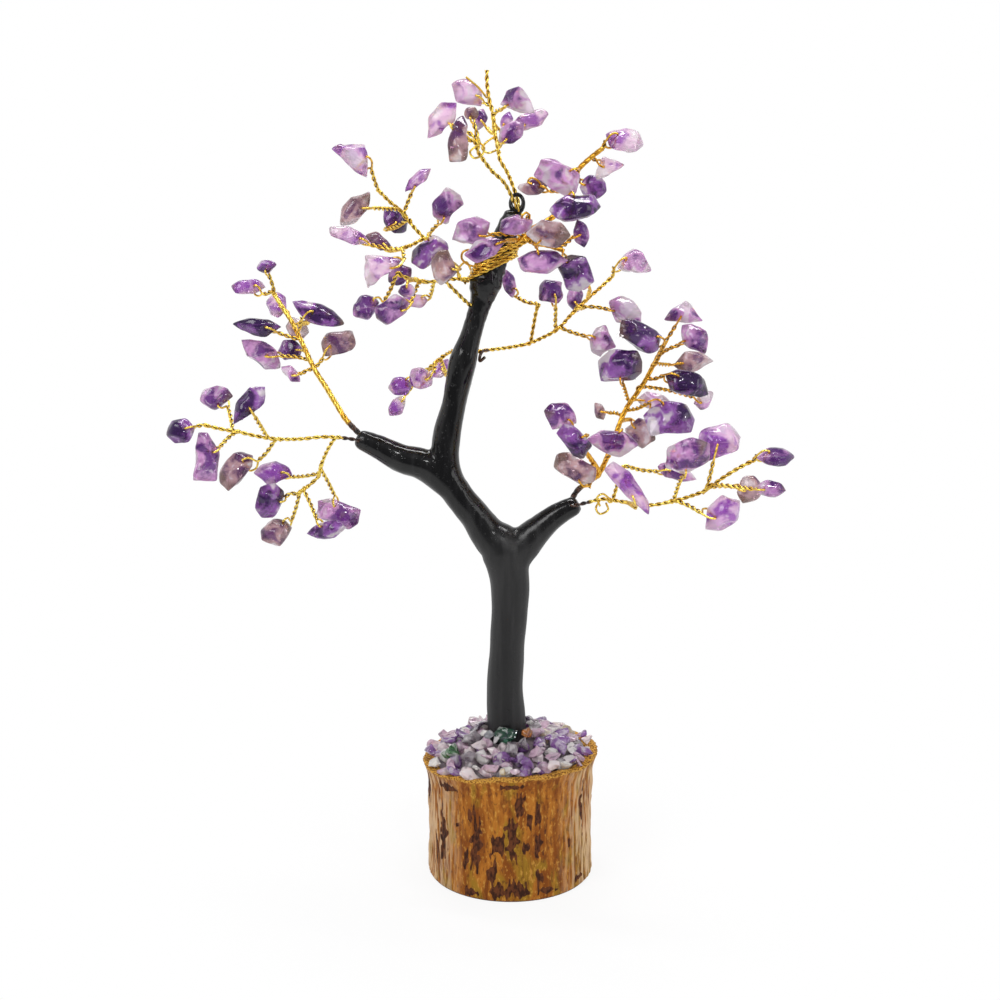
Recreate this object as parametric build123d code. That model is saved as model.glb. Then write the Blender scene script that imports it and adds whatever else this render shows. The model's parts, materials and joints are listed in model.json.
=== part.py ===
from build123d import *
import math
import os
from typing import NamedTuple

# Driving dimensions, in millimetres
TREE_HEIGHT = 200.0
LOG_RADIUS = 19.0
LOG_HEIGHT = 28.5
BARK_THICKNESS = 2.0
BARK_FOOT_CHAMFER = 0.6
BARK_RIM_FLARE = 1.2
BARK_RIM_RISE = 2.4
BARK_RIM_DEPTH = 4.5
BARK_RIM_SLANT = 2.4
BED_RISE = 8.0
BED_EDGE = 1.6
TRUNK_RADIUS = 4.6
SPIGOT_RADIUS = 3.7
SPIGOT_LENGTH = 14.0
CORE_RADIUS = 0.9
BINDING_RADIUS = 0.45
BINDING_PITCH = 1.6
CHIP_LENGTH = 9.4
CHIP_HOLE_RADIUS = 0.5
CHIP_HOLE_WALL = 0.45
TWIG_WIRE_RADIUS = 0.26
THIN_STEM_RADIUS = 0.5
THICK_STEM_RADIUS = 0.7
LOOP_RISE = 0.85
LOOP_EDGE_ROOM = 0.9
ROOT_DEPTH = 0.3
ROOT_REACH = 4.6
ROOT_PIVOT = 1.2

# Clearances and the overrun of cuts, in millimetres
SEAT_GAP = 0.1
PAIR_GAP = 0.08
FIT_GAP = 0.06
ROOT_GAP = 0.3
CUT_OVERRUN = 4.0

# Shares of the sizes above
BARK_WAIST_SHARE = 0.97
TRUNK_FOOT_SHARE = 1.22
CHIP_THICKNESS_SHARE = 0.66
CHIP_FACET_SHARE = 0.5
CHIP_SHIFT_SHARE = 0.07
CHIP_HOLE_SHARE = 0.45
GRAVEL_LENGTH_SHARE = 0.232
GRAVEL_WIDTH_SHARE = 0.82
GRAVEL_SIZE_SWAY_SHARE = 0.1
GRAVEL_RING_SHARES = ((0.8, 0), (1.0, 0.55), (0.6, 1.3))
GRAVEL_SPREAD_SHARES = (0.865, 0.655, 0.45)
GRAVEL_PITCH_SHARE = 1.04

# Counts and angles in degrees
WIRE_SIDES = 5
STEM_SIDES = 6
BINDING_TURNS = 3
BINDING_STEPS = 14
GOLDEN_TURN = 137.5
TIP_LEAN = 55.0
QUARTZ_EVERY = 4
COLOUR_EVERY = 11
CHIP_ROLL = 32.0
CHIP_PITCH = 20.0

# The tree is laid out in picture columns and rows, seen from the front and a little above.
# Depths are in the same picture units, at the trunk, and grow away from the viewer.
VIEW_REACH_SHARE = 1.9
VIEW_TILT = 11.9
VIEW_FOCAL_PX = 1576
VIEW_CENTRE_PX = (500, 500)
FOOT_PX = (510, 866)
CHIP_LENGTH_PX = 38
SPRAY_SPREAD_SHARE = 1.6

GRAVEL_LENGTH = LOG_RADIUS * GRAVEL_LENGTH_SHARE
VIEW_REACH = TREE_HEIGHT * VIEW_REACH_SHARE
TILT_SIN = math.sin(math.radians(VIEW_TILT))
TILT_COS = math.cos(math.radians(VIEW_TILT))
DEPTH_PITCH = VIEW_REACH / (VIEW_FOCAL_PX * TILT_COS)
VIEW_RIGHT = Vector(1, 0, 0)
VIEW_UP = Vector(0, TILT_SIN, TILT_COS)
VIEW_TOWARD = Vector(0, -TILT_COS, TILT_SIN)

# Trunk and arms: column, row, depth and girth as a share of TRUNK_RADIUS
TRUNK_PX_AND_SHARES = [
    (507, 735, 0, 1.10),
    (505, 690, 0, 1.00),
    (507, 650, 0, 0.98),
    (510, 608, 0, 1.00),
    (510, 578, 0, 1.08),
    (503, 548, 0, 1.28),
    (481, 516, 0, 1.18),
    (463, 489, 0, 1.13),
    (448, 462, 0, 1.10),
    (447, 434, 0, 0.72),
    (455, 400, 0, 0.68),
    (463, 361, 0, 0.72),
    (470, 338, 0, 0.58),
    (476, 318, 0, 0.52),
    (481, 300, 0, 0.62),
    (485, 283, 0, 0.80),
    (492, 268, 0, 0.74),
    (498, 253, 0, 0.62),
    (506, 234, 0, 0.60),
    (513, 216, 0, 0.54),
    (517, 203, 0, 0.46),
]
LEFT_ARM_PX_AND_SHARES = [
    (450, 466, 0, 0.95),
    (424, 464, 0, 0.88),
    (402, 459, 0, 0.78),
    (386, 451, 0, 0.69),
    (372, 444, 0, 0.61),
    (362, 440, 0, 0.54),
]
RIGHT_ARM_PX_AND_SHARES = [
    (502, 551, 0, 1.05),
    (525, 538, 0, 0.92),
    (544, 525, 0, 0.72),
    (559, 514, 0, 0.63),
    (574, 506, 0, 0.54),
]

# Wire cores inside the coat: column, row and depth
MAIN_CORE_PX = [
    (507, 735, 0),
    (505, 690, 0),
    (507, 650, 0),
    (510, 604, 0),
    (504, 553, 0),
    (482, 517, 0),
    (463, 489, 0),
    (449, 462, 0),
    (450, 430, 0),
    (455, 400, 0),
    (463, 360, 0),
    (470, 337, 0),
    (477, 314, 0),
    (484, 285, 0),
    (496, 258, 0),
    (508, 229, 0),
]
LEFT_CORE_PX = [
    (507, 735, -9),
    (505, 690, -9),
    (507, 650, -9),
    (510, 604, -9),
    (504, 553, -9),
    (480, 517, -9),
    (460, 490, -9),
    (444, 471, -9),
    (420, 464, -5),
    (401, 458, -1),
    (385, 450, 0),
]
RIGHT_CORE_PX = [
    (507, 735, 9),
    (505, 690, 9),
    (507, 650, 9),
    (510, 604, 9),
    (510, 566, 9),
    (525, 540, 8),
    (541, 527, 3),
    (554, 518, 0),
]
BINDING_PX = [(489, 273, 0), (499, 251, 0)]
BINDING_SHARES = [0.82, 0.68]


class Stem(NamedTuple):
    """A twisted wire stem: the stem and place it leaves from, then column, row and depth."""

    parent: int
    at: float
    points: list


class Chip(NamedTuple):
    """A drilled chip: the stem and place of its twig, its centre, length, width, turn, form and node."""

    stem: int
    at: float
    column: float
    row: float
    depth: float
    length: float
    width: float
    turn: float
    form: str
    node: str


class Spray(NamedTuple):
    """A branch of wire with its chips, rooted in the trunk."""

    name: str
    stem_radius: float
    stems: list
    chips: list


# Outlines of the chips, as shares of half the length and half the width
OUTLINE_SHARES = {
    "leaf": [(-1.0, 0.1), (-0.45, -0.75), (0.3, -1.0), (1.0, -0.15), (0.55, 0.75), (-0.3, 1.0)],
    "wedge": [(-1.0, -0.7), (0.1, -1.0), (1.0, -0.35), (0.95, 0.3), (0.0, 0.75), (-0.95, 1.0)],
    "block": [(-1.0, -0.8), (0.6, -1.0), (1.0, -0.4), (0.9, 0.8), (-0.5, 1.0), (-1.0, 0.4)],
    "kite": [(-1.0, -0.1), (-0.1, -1.0), (1.0, 0.0), (0.75, 0.6), (0.1, 1.0), (-0.7, 0.6)],
    "pebble": [(-1.0, -0.3), (-0.4, -1.0), (0.6, -0.9), (1.0, 0.1), (0.4, 1.0), (-0.6, 0.85)],
    "shard": [(-1.0, 0.55), (-0.85, -0.5), (0.2, -1.0), (1.0, -0.3), (0.7, 0.5), (-0.2, 1.0)],
    "triangle": [(-1.0, -0.85), (0.3, -1.0), (1.0, -0.7), (0.5, 0.3), (0.05, 1.0), (-0.6, 0.3)],
}

SPRAYS = [
    Spray("left_low", THIN_STEM_RADIUS, [
        Stem(None, None, [(371, 442, -5), (343, 438, -8), (322, 437, -12), (300, 439, -16), (276, 439, -20),
                          (256, 436, -24), (239, 432, -26), (221, 429, -28), (204, 425, -30)]),
        Stem(0, 1.35, [(329, 447, -4), (323, 460, 4), (318, 477, 8)]),
        Stem(1, 3, [(307, 487, 9), (297, 494, 10)]),
    ], [
        Chip(0, 8, 180, 431, -34, 28, 25, 0, "pebble", "left_end_chip"),
        Chip(0, 6.1, 205, 455, -48, 46, 25, 95, "wedge", "mid"),
        Chip(0, 4.0, 236, 469, -10, 42, 27, 60, "block", "smoky"),
        Chip(0, 6.3, 216, 398, -8, 37, 26, 10, "kite", "mid"),
        Chip(0, 4.4, 248, 404, -38, 48, 22, 55, "leaf", "deep"),
        Chip(1, 2.75, 273, 473, 24, 38, 26, 0, "kite", "left_hanging_chip"),
        Chip(2, 2, 269, 501, 2, 36, 28, 90, "block", "deep"),
        Chip(2, 1.7, 277, 533, 14, 36, 33, 30, "kite", "smoky"),
        Chip(2, 1.3, 326, 530, -10, 42, 20, 15, "leaf", "deep"),
        Chip(1, 2.5, 338, 513, 24, 48, 28, -15, "block", "mid"),
    ]),
    Spray("left_high", THICK_STEM_RADIUS, [
        Stem(None, None, [(370, 444, 5), (348, 422, 9), (338, 407, 13), (326, 387, 18), (315, 370, 22),
                          (304, 347, 28), (293, 324, 33), (283, 308, 37), (272, 291, 41)]),
    ], [
        Chip(0, 8, 249, 287, 50, 36, 20, 20, "shard", "pale"),
        Chip(0, 7.7, 266, 266, 32, 22, 14, 20, "leaf", "deep"),
        Chip(0, 7.1, 277, 305, 64, 27, 23, 90, "pebble", "pale"),
        Chip(0, 5.3, 257, 326, 30, 46, 21, 0, "leaf", "deep"),
        Chip(0, 4.4, 261, 353, 40, 52, 28, -25, "leaf", "mid"),
        Chip(0, 5.6, 318, 314, 22, 56, 24, -8, "leaf", "deep"),
        Chip(0, 5.9, 297, 328, 62, 27, 20, -20, "pebble", "smoky"),
        Chip(0, 5.0, 290, 350, 62, 24, 22, 0, "pebble", "deep"),
        Chip(0, 4.1, 338, 343, 34, 36, 27, 20, "block", "smoky"),
        Chip(0, 4.0, 291, 374, 18, 26, 14, -25, "leaf", "mid"),
    ]),
    Spray("mid_left", THIN_STEM_RADIUS, [
        Stem(None, None, [(478, 279, -3), (455, 279, -8), (440, 281, -13), (425, 282, -18), (410, 279, -22),
                          (397, 274, -26)]),
        Stem(0, 0.75, [(455, 267, -2), (440, 254, 4), (426, 240, 8), (413, 226, 12), (403, 213, 16),
                       (390, 202, 12), (378, 190, 8)]),
        Stem(1, 3.1, [(412, 245, 2), (400, 249, -4)]),
    ], [
        Chip(1, 7, 356, 154, -4, 44, 31, -30, "triangle", "pale"),
        Chip(1, 5.3, 355, 209, -10, 44, 22, 50, "leaf", "smoky"),
        Chip(1, 4.9, 417, 180, 20, 34, 13, 43, "leaf", "pale"),
        Chip(1, 4.5, 396, 220, 44, 30, 27, -45, "pebble", "deep"),
        Chip(1, 3.0, 446, 205, -6, 32, 27, 60, "block", "mid"),
        Chip(2, 2, 350, 236, 10, 42, 17, -8, "shard", "pale"),
        Chip(2, 1.5, 378, 241, 28, 28, 16, -20, "leaf", "smoky"),
        Chip(2, 1.8, 376, 267, -20, 46, 30, 45, "triangle", "pale"),
        Chip(1, 2.2, 430, 252, -20, 38, 27, 55, "block", "deep"),
        Chip(1, 1.5, 444, 267, -50, 32, 25, 80, "kite", "smoky"),
        Chip(0, 3.4, 399, 275, -4, 26, 20, 20, "pebble", "mid"),
        Chip(0, 5, 366, 308, -16, 30, 27, 30, "kite", "mid"),
        Chip(0, 3.3, 391, 310, -38, 34, 24, 50, "block", "mid"),
        Chip(0, 2.4, 415, 301, -2, 26, 17, 15, "shard", "pale"),
        Chip(0, 3.8, 407, 291, -52, 16, 13, 0, "pebble", "mid"),
    ]),
    Spray("top_left", THIN_STEM_RADIUS, [
        Stem(None, None, [(516, 206, -5), (505, 184, -8), (492, 171, -11), (482, 158, -14), (477, 149, -16),
                          (478, 140, -18)]),
    ], [
        Chip(0, 5, 442, 119, -14, 44, 22, 55, "leaf", "pale"),
        Chip(0, 4.5, 459, 138, -42, 45, 22, 97, "wedge", "smoky"),
        Chip(0, 5, 471, 113, -20, 15, 13, 0, "pebble", "smoky"),
    ]),
    Spray("top_right", THIN_STEM_RADIUS, [
        Stem(None, None, [(519, 206, 5), (509, 176, 8), (500, 160, 10), (498, 148, 11), (495, 134, 12),
                          (493, 116, 12), (489, 98, 12), (487, 84, 12), (487, 70, 12)]),
    ], [
        Chip(0, 5.6, 467, 93, 14, 34, 27, -40, "kite", "pale"),
        Chip(0, 4.0, 480, 120, 34, 24, 16, 80, "leaf", "mid"),
        Chip(0, 5.0, 517, 99, -4, 38, 26, -12, "triangle", "mid"),
        Chip(0, 4.5, 506, 122, 32, 23, 13, 85, "leaf", "pale"),
        Chip(0, 3.0, 532, 119, 18, 34, 19, 25, "shard", "pale"),
        Chip(0, 3.4, 512, 133, -14, 29, 20, 40, "leaf", "mid"),
    ]),
    Spray("upper_right", THICK_STEM_RADIUS, [
        Stem(None, None, [(505, 246, -4), (521, 239, -22), (534, 228, -26), (550, 219, -26), (565, 207, -20),
                          (573, 190, -14), (577, 172, -12), (588, 160, -14), (603, 148, -18)]),
        Stem(0, 1.1, [(536, 243, -30), (550, 246, -28), (562, 250, -24)]),
    ], [
        Chip(0, 8, 625, 140, -18, 34, 25, 10, "block", "pale"),
        Chip(0, 7.0, 607, 166, -8, 30, 18, 35, "triangle", "pale"),
        Chip(0, 5.7, 559, 176, -34, 40, 28, -25, "block", "mid"),
        Chip(0, 5.0, 533, 187, -2, 30, 18, 10, "leaf", "smoky"),
        Chip(0, 5.0, 594, 187, 6, 28, 23, -20, "pebble", "deep"),
        Chip(0, 3.6, 576, 208, -46, 46, 26, 25, "block", "deep"),
        Chip(0, 1.3, 471, 232, -32, 40, 26, 30, "leaf", "mid"),
        Chip(0, 0.8, 486, 249, -46, 36, 22, 35, "shard", "mid"),
        Chip(0, 1.7, 516, 225, -46, 32, 21, 20, "pebble", "mid"),
        Chip(0, 2.3, 549, 234, -58, 42, 26, 10, "leaf", "smoky"),
        Chip(1, 2.6, 581, 233, -12, 28, 18, -60, "leaf", "mid"),
        Chip(1, 1.0, 541, 262, -52, 48, 23, 10, "shard", "mid"),
        Chip(1, 3, 576, 272, -32, 36, 29, -60, "block", "deep"),
    ]),
    Spray("mid_right", THIN_STEM_RADIUS, [
        Stem(None, None, [(468, 353, 4), (489, 350, 12), (506, 348, 18), (527, 344, 26), (542, 338, 32),
                          (558, 329, 38), (570, 316, 42), (584, 302, 46), (600, 288, 50), (612, 277, 54)]),
        Stem(0, 3.2, [(533, 328, 22), (536, 312, 18), (538, 304, 16)]),
    ], [
        Chip(0, 9, 633, 261, 53, 40, 28, 5, "triangle", "mid"),
        Chip(0, 6.6, 625, 311, 36, 40, 30, -35, "kite", "mid"),
        Chip(0, 5.1, 602, 342, 30, 33, 27, 80, "kite", "mid"),
        Chip(0, 4.8, 551, 291, 28, 26, 26, 0, "block", "mid"),
        Chip(0, 6.2, 575, 298, 70, 30, 20, -65, "leaf", "mid"),
        Chip(1, 3, 509, 283, 28, 30, 17, -60, "leaf", "mid"),
        Chip(0, 7.2, 586, 280, 24, 22, 13, 80, "leaf", "mid"),
    ]),
    Spray("back_left", THIN_STEM_RADIUS, [
        Stem(None, None, [(463, 346, 3), (448, 353, 24), (436, 362, 32), (425, 371, 38), (418, 375, 40)]),
    ], [
        Chip(0, 3.0, 398, 406, 54, 24, 18, 45, "kite", "pale"),
        Chip(0, 4, 400, 386, 30, 25, 22, 0, "pebble", "pale"),
        Chip(0, 2.0, 421, 378, 22, 26, 25, 20, "pebble", "pale"),
        Chip(0, 1.6, 440, 369, 56, 27, 16, 60, "leaf", "pale"),
    ]),
    Spray("right_high", THICK_STEM_RADIUS, [
        Stem(None, None, [(566, 511, 5), (577, 491, 8), (589, 482, 11), (600, 472, 14), (609, 452, 18),
                          (618, 428, 22), (626, 409, 26), (635, 396, 29), (645, 381, 32), (655, 362, 35),
                          (666, 341, 38)]),
        Stem(0, 2.9, [(590, 458, 2), (580, 445, -8), (573, 434, -14)]),
    ], [
        Chip(0, 10, 684, 312, 44, 39, 23, -3, "triangle", "mid"),
        Chip(0, 9.3, 694, 338, 22, 37, 28, -50, "kite", "mid"),
        Chip(0, 8.6, 641, 337, 8, 47, 29, -15, "block", "deep"),
        Chip(0, 6.3, 621, 365, 6, 42, 35, 10, "block", "deep"),
        Chip(0, 8.9, 693, 363, 56, 42, 24, 10, "leaf", "smoky"),
        Chip(0, 8.1, 687, 384, 24, 44, 28, -8, "block", "deep"),
        Chip(0, 7.6, 704, 401, 58, 27, 20, 50, "kite", "mid"),
        Chip(0, 5.9, 670, 418, 0, 50, 36, 15, "block", "deep"),
        Chip(0, 6.6, 654, 401, 56, 36, 19, 0, "leaf", "mid"),
        Chip(0, 5.3, 641, 433, 48, 33, 28, -30, "pebble", "smoky"),
        Chip(0, 3.4, 612, 443, -14, 56, 27, 8, "leaf", "mid"),
        Chip(0, 5.6, 600, 411, 44, 20, 13, -50, "leaf", "smoky"),
        Chip(1, 3, 560, 416, -22, 36, 29, -20, "kite", "mid"),
        Chip(1, 2.4, 574, 441, -48, 36, 22, -45, "block", "deep"),
        Chip(1, 0.6, 576, 468, -12, 44, 26, -20, "block", "smoky"),
    ]),
    Spray("right_low", THIN_STEM_RADIUS, [
        Stem(None, None, [(565, 508, -5), (589, 502, -10), (603, 499, -14), (618, 501, -19), (635, 504, -24),
                          (652, 505, -28), (669, 502, -32), (688, 497, -36), (706, 490, -40),
                          (721, 479, -43), (737, 469, -46), (752, 461, -48)]),
        Stem(0, 2.6, [(618, 482, -26), (624, 466, -30)]),
    ], [
        Chip(0, 11, 776, 457, -50, 37, 22, 15, "leaf", "right_end_chip"),
        Chip(0, 8.2, 750, 489, -28, 29, 25, 60, "pebble", "right_hanging_chip"),
        Chip(0, 8.5, 771, 489, -66, 26, 16, 8, "shard", "mid"),
        Chip(0, 8.0, 719, 441, -30, 42, 34, 30, "block", "pale"),
        Chip(0, 6.2, 688, 455, -60, 46, 36, 30, "pebble", "mid"),
        Chip(1, 2, 676, 473, -14, 46, 19, -12, "leaf", "mid"),
        Chip(0, 3.6, 629, 487, -62, 60, 20, -45, "shard", "pale"),
        Chip(0, 6.3, 722, 514, -46, 46, 32, 50, "leaf", "pale"),
    ]),
]
TONES = ("deep", "mid", "pale", "smoky")


def sight(column, row):
    """How far a line of sight moves across and up for each step away from the viewer."""
    across = (column - VIEW_CENTRE_PX[0]) / VIEW_FOCAL_PX
    up = (VIEW_CENTRE_PX[1] - row) / VIEW_FOCAL_PX
    away = TILT_COS + up * TILT_SIN
    return across / away, (up * TILT_COS - TILT_SIN) / away


def spot(column, row, depth):
    """The place seen at a column and row, at a depth from the trunk's plane."""
    foot_across, foot_up = sight(*FOOT_PX)
    across, up = sight(column, row)
    away = depth * DEPTH_PITCH
    x = (VIEW_REACH + away) * across - VIEW_REACH * foot_across
    z = (VIEW_REACH + away) * up - VIEW_REACH * foot_up
    return Vector(x, away, z)


def spread(column, row, depth):
    """A place on a spray, with the spray opened out from front to back."""
    return spot(column, row, depth * SPRAY_SPREAD_SHARE)


def chip_size(pixels):
    """A length in picture units as a real length on a chip."""
    return CHIP_LENGTH * pixels / CHIP_LENGTH_PX


def sway(index, swing):
    """An angle within plus or minus swing that differs from chip to chip."""
    return swing * math.sin(math.radians(GOLDEN_TURN * index))


def upright_to(direction):
    """Two directions square to the given one and to each other."""
    guide = Vector(0, 0, 1) if abs(direction.Z) < abs(direction.Y) else Vector(0, 1, 0)
    side = direction.cross(guide).normalized()
    return side, side.cross(direction).normalized()


def faceted(rings):
    """A closed solid with flat faces from ring to ring and over both end rings."""
    faces = [Face(Wire.make_polygon(rings[0])), Face(Wire.make_polygon(rings[-1]))]
    for near, far in zip(rings, rings[1:]):
        for i in range(len(near)):
            faces.append(Face(Wire.make_polygon([near[i - 1], near[i], far[i], far[i - 1]])))
    return Solid(Shell(faces))


def wire_along(points, radius, sides):
    """A many-sided wire along straight runs, mitred at each bend."""
    runs = [(b - a).normalized() for a, b in zip(points, points[1:])]
    side, up = upright_to(runs[0])
    angles = [2 * math.pi * i / sides for i in range(sides)]
    ring = [points[0] + side * (radius * math.cos(a)) + up * (radius * math.sin(a)) for a in angles]
    rings = [ring]
    for i, run in enumerate(runs):
        mitre = (run + runs[i + 1]).normalized() if i + 1 < len(runs) else run
        corner = points[i + 1]
        ring = [p + run * ((corner - p).dot(mitre) / run.dot(mitre)) for p in ring]
        rings.append(ring)
    return faceted(rings)


def along(points, at):
    """The place and direction at a place counted in points along a run of points."""
    index = min(int(at), len(points) - 2)
    start, end = points[index], points[index + 1]
    return start + (end - start) * (at - index), (end - start).normalized()


def seat(points, radius, at, target, half_width):
    """Where a wire of the given half width that goes to target starts, clear of the stem it leaves."""
    place, run = along(points, at)
    aim = (target - place).normalized()
    lean = aim.dot(run)
    if at >= len(points) - 1 and lean > math.cos(math.radians(TIP_LEAN)):
        return place + aim * ((SEAT_GAP + half_width * math.sqrt(1 - lean**2)) / lean)
    across = math.sqrt(1 - lean**2)
    return place + aim * ((radius + SEAT_GAP + half_width * abs(lean)) / across)


def stem_paths(spray):
    """The line of every stem of a spray, the side stems starting clear of the stem they leave."""
    paths = []
    for stem in spray.stems:
        points = [spread(*p) for p in stem.points]
        if stem.parent is None:
            points[0] = spot(*stem.points[0])
        else:
            start = seat(paths[stem.parent], spray.stem_radius, stem.at, points[0], spray.stem_radius)
            points.insert(0, start)
        paths.append(points)
    return paths


def chip_axes(chip, index):
    """The length, width and thickness directions of a chip: turned in the picture, then leant a little."""
    turn = math.radians(chip.turn)
    length = VIEW_RIGHT * math.cos(turn) + VIEW_UP * math.sin(turn)
    width = VIEW_UP * math.cos(turn) - VIEW_RIGHT * math.sin(turn)
    thick = VIEW_TOWARD
    roll = math.radians(sway(index, CHIP_ROLL))
    width, thick = (
        width * math.cos(roll) + thick * math.sin(roll),
        thick * math.cos(roll) - width * math.sin(roll),
    )
    pitch = math.radians(sway(index + len(TONES), CHIP_PITCH))
    length, thick = (
        length * math.cos(pitch) - thick * math.sin(pitch),
        thick * math.cos(pitch) + length * math.sin(pitch),
    )
    return length, width, thick


def chip_rings(centre, axes, outline, half_length, half_width, half_thick, index):
    """The three rings of points that a tumbled chip's flat faces run between."""
    length, width, thick = axes
    middle = [(x * half_length, y * half_width) for x, y in outline]
    rings = []
    for side in (-1, 0, 1):
        share = CHIP_FACET_SHARE if side else 1
        shift_turn = math.radians(GOLDEN_TURN * (index + side))
        shift = CHIP_SHIFT_SHARE * half_width * abs(side)
        dx = shift * math.cos(shift_turn)
        dy = shift * math.sin(shift_turn)
        ring = [
            centre + length * (x * share + dx) + width * (y * share + dy) + thick * (side * half_thick)
            for x, y in middle
        ]
        rings.append(ring)
    return rings


def reach_to_edge(outline, half_length, half_width, direction):
    """How far a chip's edge is from its centre in a direction given along its length and width."""
    dx, dy = direction
    reach = 0
    points = [(x * half_length, y * half_width) for x, y in outline]
    for (ax, ay), (bx, by) in zip(points, points[1:] + points[:1]):
        ex, ey = bx - ax, by - ay
        cross = dx * ey - dy * ex
        if cross:
            distance = (ax * ey - ay * ex) / cross
            share = (ax * dy - ay * dx) / cross
            if distance > 0 and 0 <= share <= 1:
                reach = distance
    return reach


class Threaded(NamedTuple):
    """A chip in place with the wire that is threaded through it."""

    chip: Chip
    centre: Vector
    rings: list
    hole: Vector
    hole_axis: Vector
    half_thick: float
    twig: list


def thread(spray, paths, chip, index):
    """Sets one chip in place, drills it towards its stem and threads its doubled wire."""
    outline = OUTLINE_SHARES[chip.form]
    half_length = chip_size(chip.length) / 2
    half_width = chip_size(chip.width) / 2
    half_thick = half_width * CHIP_THICKNESS_SHARE
    centre = spread(chip.column, chip.row, chip.depth)
    axes = chip_axes(chip, index)
    length, width, thick = axes
    rings = chip_rings(centre, axes, outline, half_length, half_width, half_thick, index)

    root, _ = along(paths[chip.stem], chip.at)
    aim = root - centre
    flat = (aim.dot(length), aim.dot(width))
    size = math.hypot(*flat)
    flat = (flat[0] / size, flat[1] / size)
    edge = reach_to_edge(outline, half_length, half_width, flat)
    wall = max(edge * CHIP_HOLE_SHARE, CHIP_HOLE_RADIUS + CHIP_HOLE_WALL)
    out = length * flat[0] + width * flat[1]
    hole = centre + out * (edge - wall)

    half_pair = TWIG_WIRE_RADIUS + PAIR_GAP / 2
    rise = half_thick + LOOP_RISE
    neck = hole + out * (wall + LOOP_EDGE_ROOM)
    start = seat(paths[chip.stem], spray.stem_radius, chip.at, neck, half_pair + TWIG_WIRE_RADIUS)
    run = (start - neck).normalized()
    side = thick * run.dot(out) - out * run.dot(thick)
    offset = side.normalized() * half_pair
    twig = [
        start + offset,
        neck + offset,
        hole + thick * rise,
        hole - thick * rise,
        neck - offset,
        start - offset,
    ]
    return Threaded(chip, centre, rings, hole, thick, half_thick, twig)


def threaded_chips(spray, first_index):
    """All chips of a spray with their wires."""
    paths = stem_paths(spray)
    return [thread(spray, paths, chip, first_index + i) for i, chip in enumerate(spray.chips)]


def chip_solid(threaded):
    """A faceted chip with its drilled hole."""
    reach = threaded.hole_axis * (threaded.half_thick + CUT_OVERRUN)
    drill = wire_along([threaded.hole - reach, threaded.hole + reach], CHIP_HOLE_RADIUS, WIRE_SIDES)
    return (faceted(threaded.rings) - drill).solid()


def root_direction(path):
    """The direction in which a stem leaves the trunk."""
    return (path[1] - path[0]).normalized()


def pivot_of(spray):
    """The place about which a spray's stem bends, just inside the trunk's coat."""
    path = stem_paths(spray)[0]
    return path[0] + root_direction(path) * ROOT_PIVOT


def root_hole(spray):
    """The blind hole in the coat that a stem comes out of."""
    path = stem_paths(spray)[0]
    out = root_direction(path)
    plane = Plane(path[0] - out * ROOT_DEPTH, z_dir=out)
    return Solid.make_cylinder(spray.stem_radius + ROOT_GAP, ROOT_DEPTH + ROOT_REACH, plane)


def limb(table, foot=None):
    """A round limb through the circles of a table, square to its own line."""
    places = [spot(*row[:3]) for row in table]
    radii = [TRUNK_RADIUS * row[3] for row in table]
    if foot:
        places.insert(0, foot)
        radii.insert(0, TRUNK_RADIUS * TRUNK_FOOT_SHARE)
    circles = []
    for i, (place, radius) in enumerate(zip(places, radii)):
        before = places[max(i - 1, 0)]
        after = places[min(i + 1, len(places) - 1)]
        tangent = Vector(0, 0, 1) if foot and not i else after - before
        circles.append(Wire.make_circle(radius, Plane(place, z_dir=tangent)))
    return Solid.make_loft(circles, ruled=True)


def trunk_foot():
    """The middle of the trunk's foot, on the log's top."""
    place = spot(*TRUNK_PX_AND_SHARES[0][:3])
    return Vector(place.X, place.Y, LOG_HEIGHT)


def core_path(table):
    """A core wire's line, from the bottom of the spigot up into its limb."""
    points = [spot(*row) for row in table]
    foot = points[0]
    bottom = Vector(foot.X, foot.Y, LOG_HEIGHT - SPIGOT_LENGTH + CORE_RADIUS)
    return [bottom] + points


def core_paths():
    """The lines of the three core wires."""
    return [core_path(table) for table in (MAIN_CORE_PX, LEFT_CORE_PX, RIGHT_CORE_PX)]


def trunk_core():
    """Three core wires, side by side in the trunk and parting into the arms."""
    return [wire_along(path, CORE_RADIUS, STEM_SIDES) for path in core_paths()]


def trunk():
    """The black coat: trunk and two arms in one, with its spigot, core bores and root holes."""
    foot = trunk_foot()
    body = limb(TRUNK_PX_AND_SHARES, foot)
    body = body + limb(LEFT_ARM_PX_AND_SHARES) + limb(RIGHT_ARM_PX_AND_SHARES)
    spigot_floor = Plane(foot - Vector(0, 0, SPIGOT_LENGTH))
    body = body + Solid.make_cylinder(SPIGOT_RADIUS, SPIGOT_LENGTH + FIT_GAP, spigot_floor)
    for path in core_paths():
        body = body - wire_along(path, CORE_RADIUS + FIT_GAP, STEM_SIDES)
    for spray in SPRAYS:
        body = body - root_hole(spray)
    return [body.solid()]


def base_log():
    """The wooden log with the socket for the trunk's spigot."""
    foot = trunk_foot()
    socket = Plane(foot - Vector(0, 0, SPIGOT_LENGTH + FIT_GAP))
    log = Solid.make_cylinder(LOG_RADIUS, LOG_HEIGHT)
    bore = Solid.make_cylinder(SPIGOT_RADIUS + FIT_GAP, SPIGOT_LENGTH + CUT_OVERRUN, socket)
    return [(log - bore).solid()]


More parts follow.
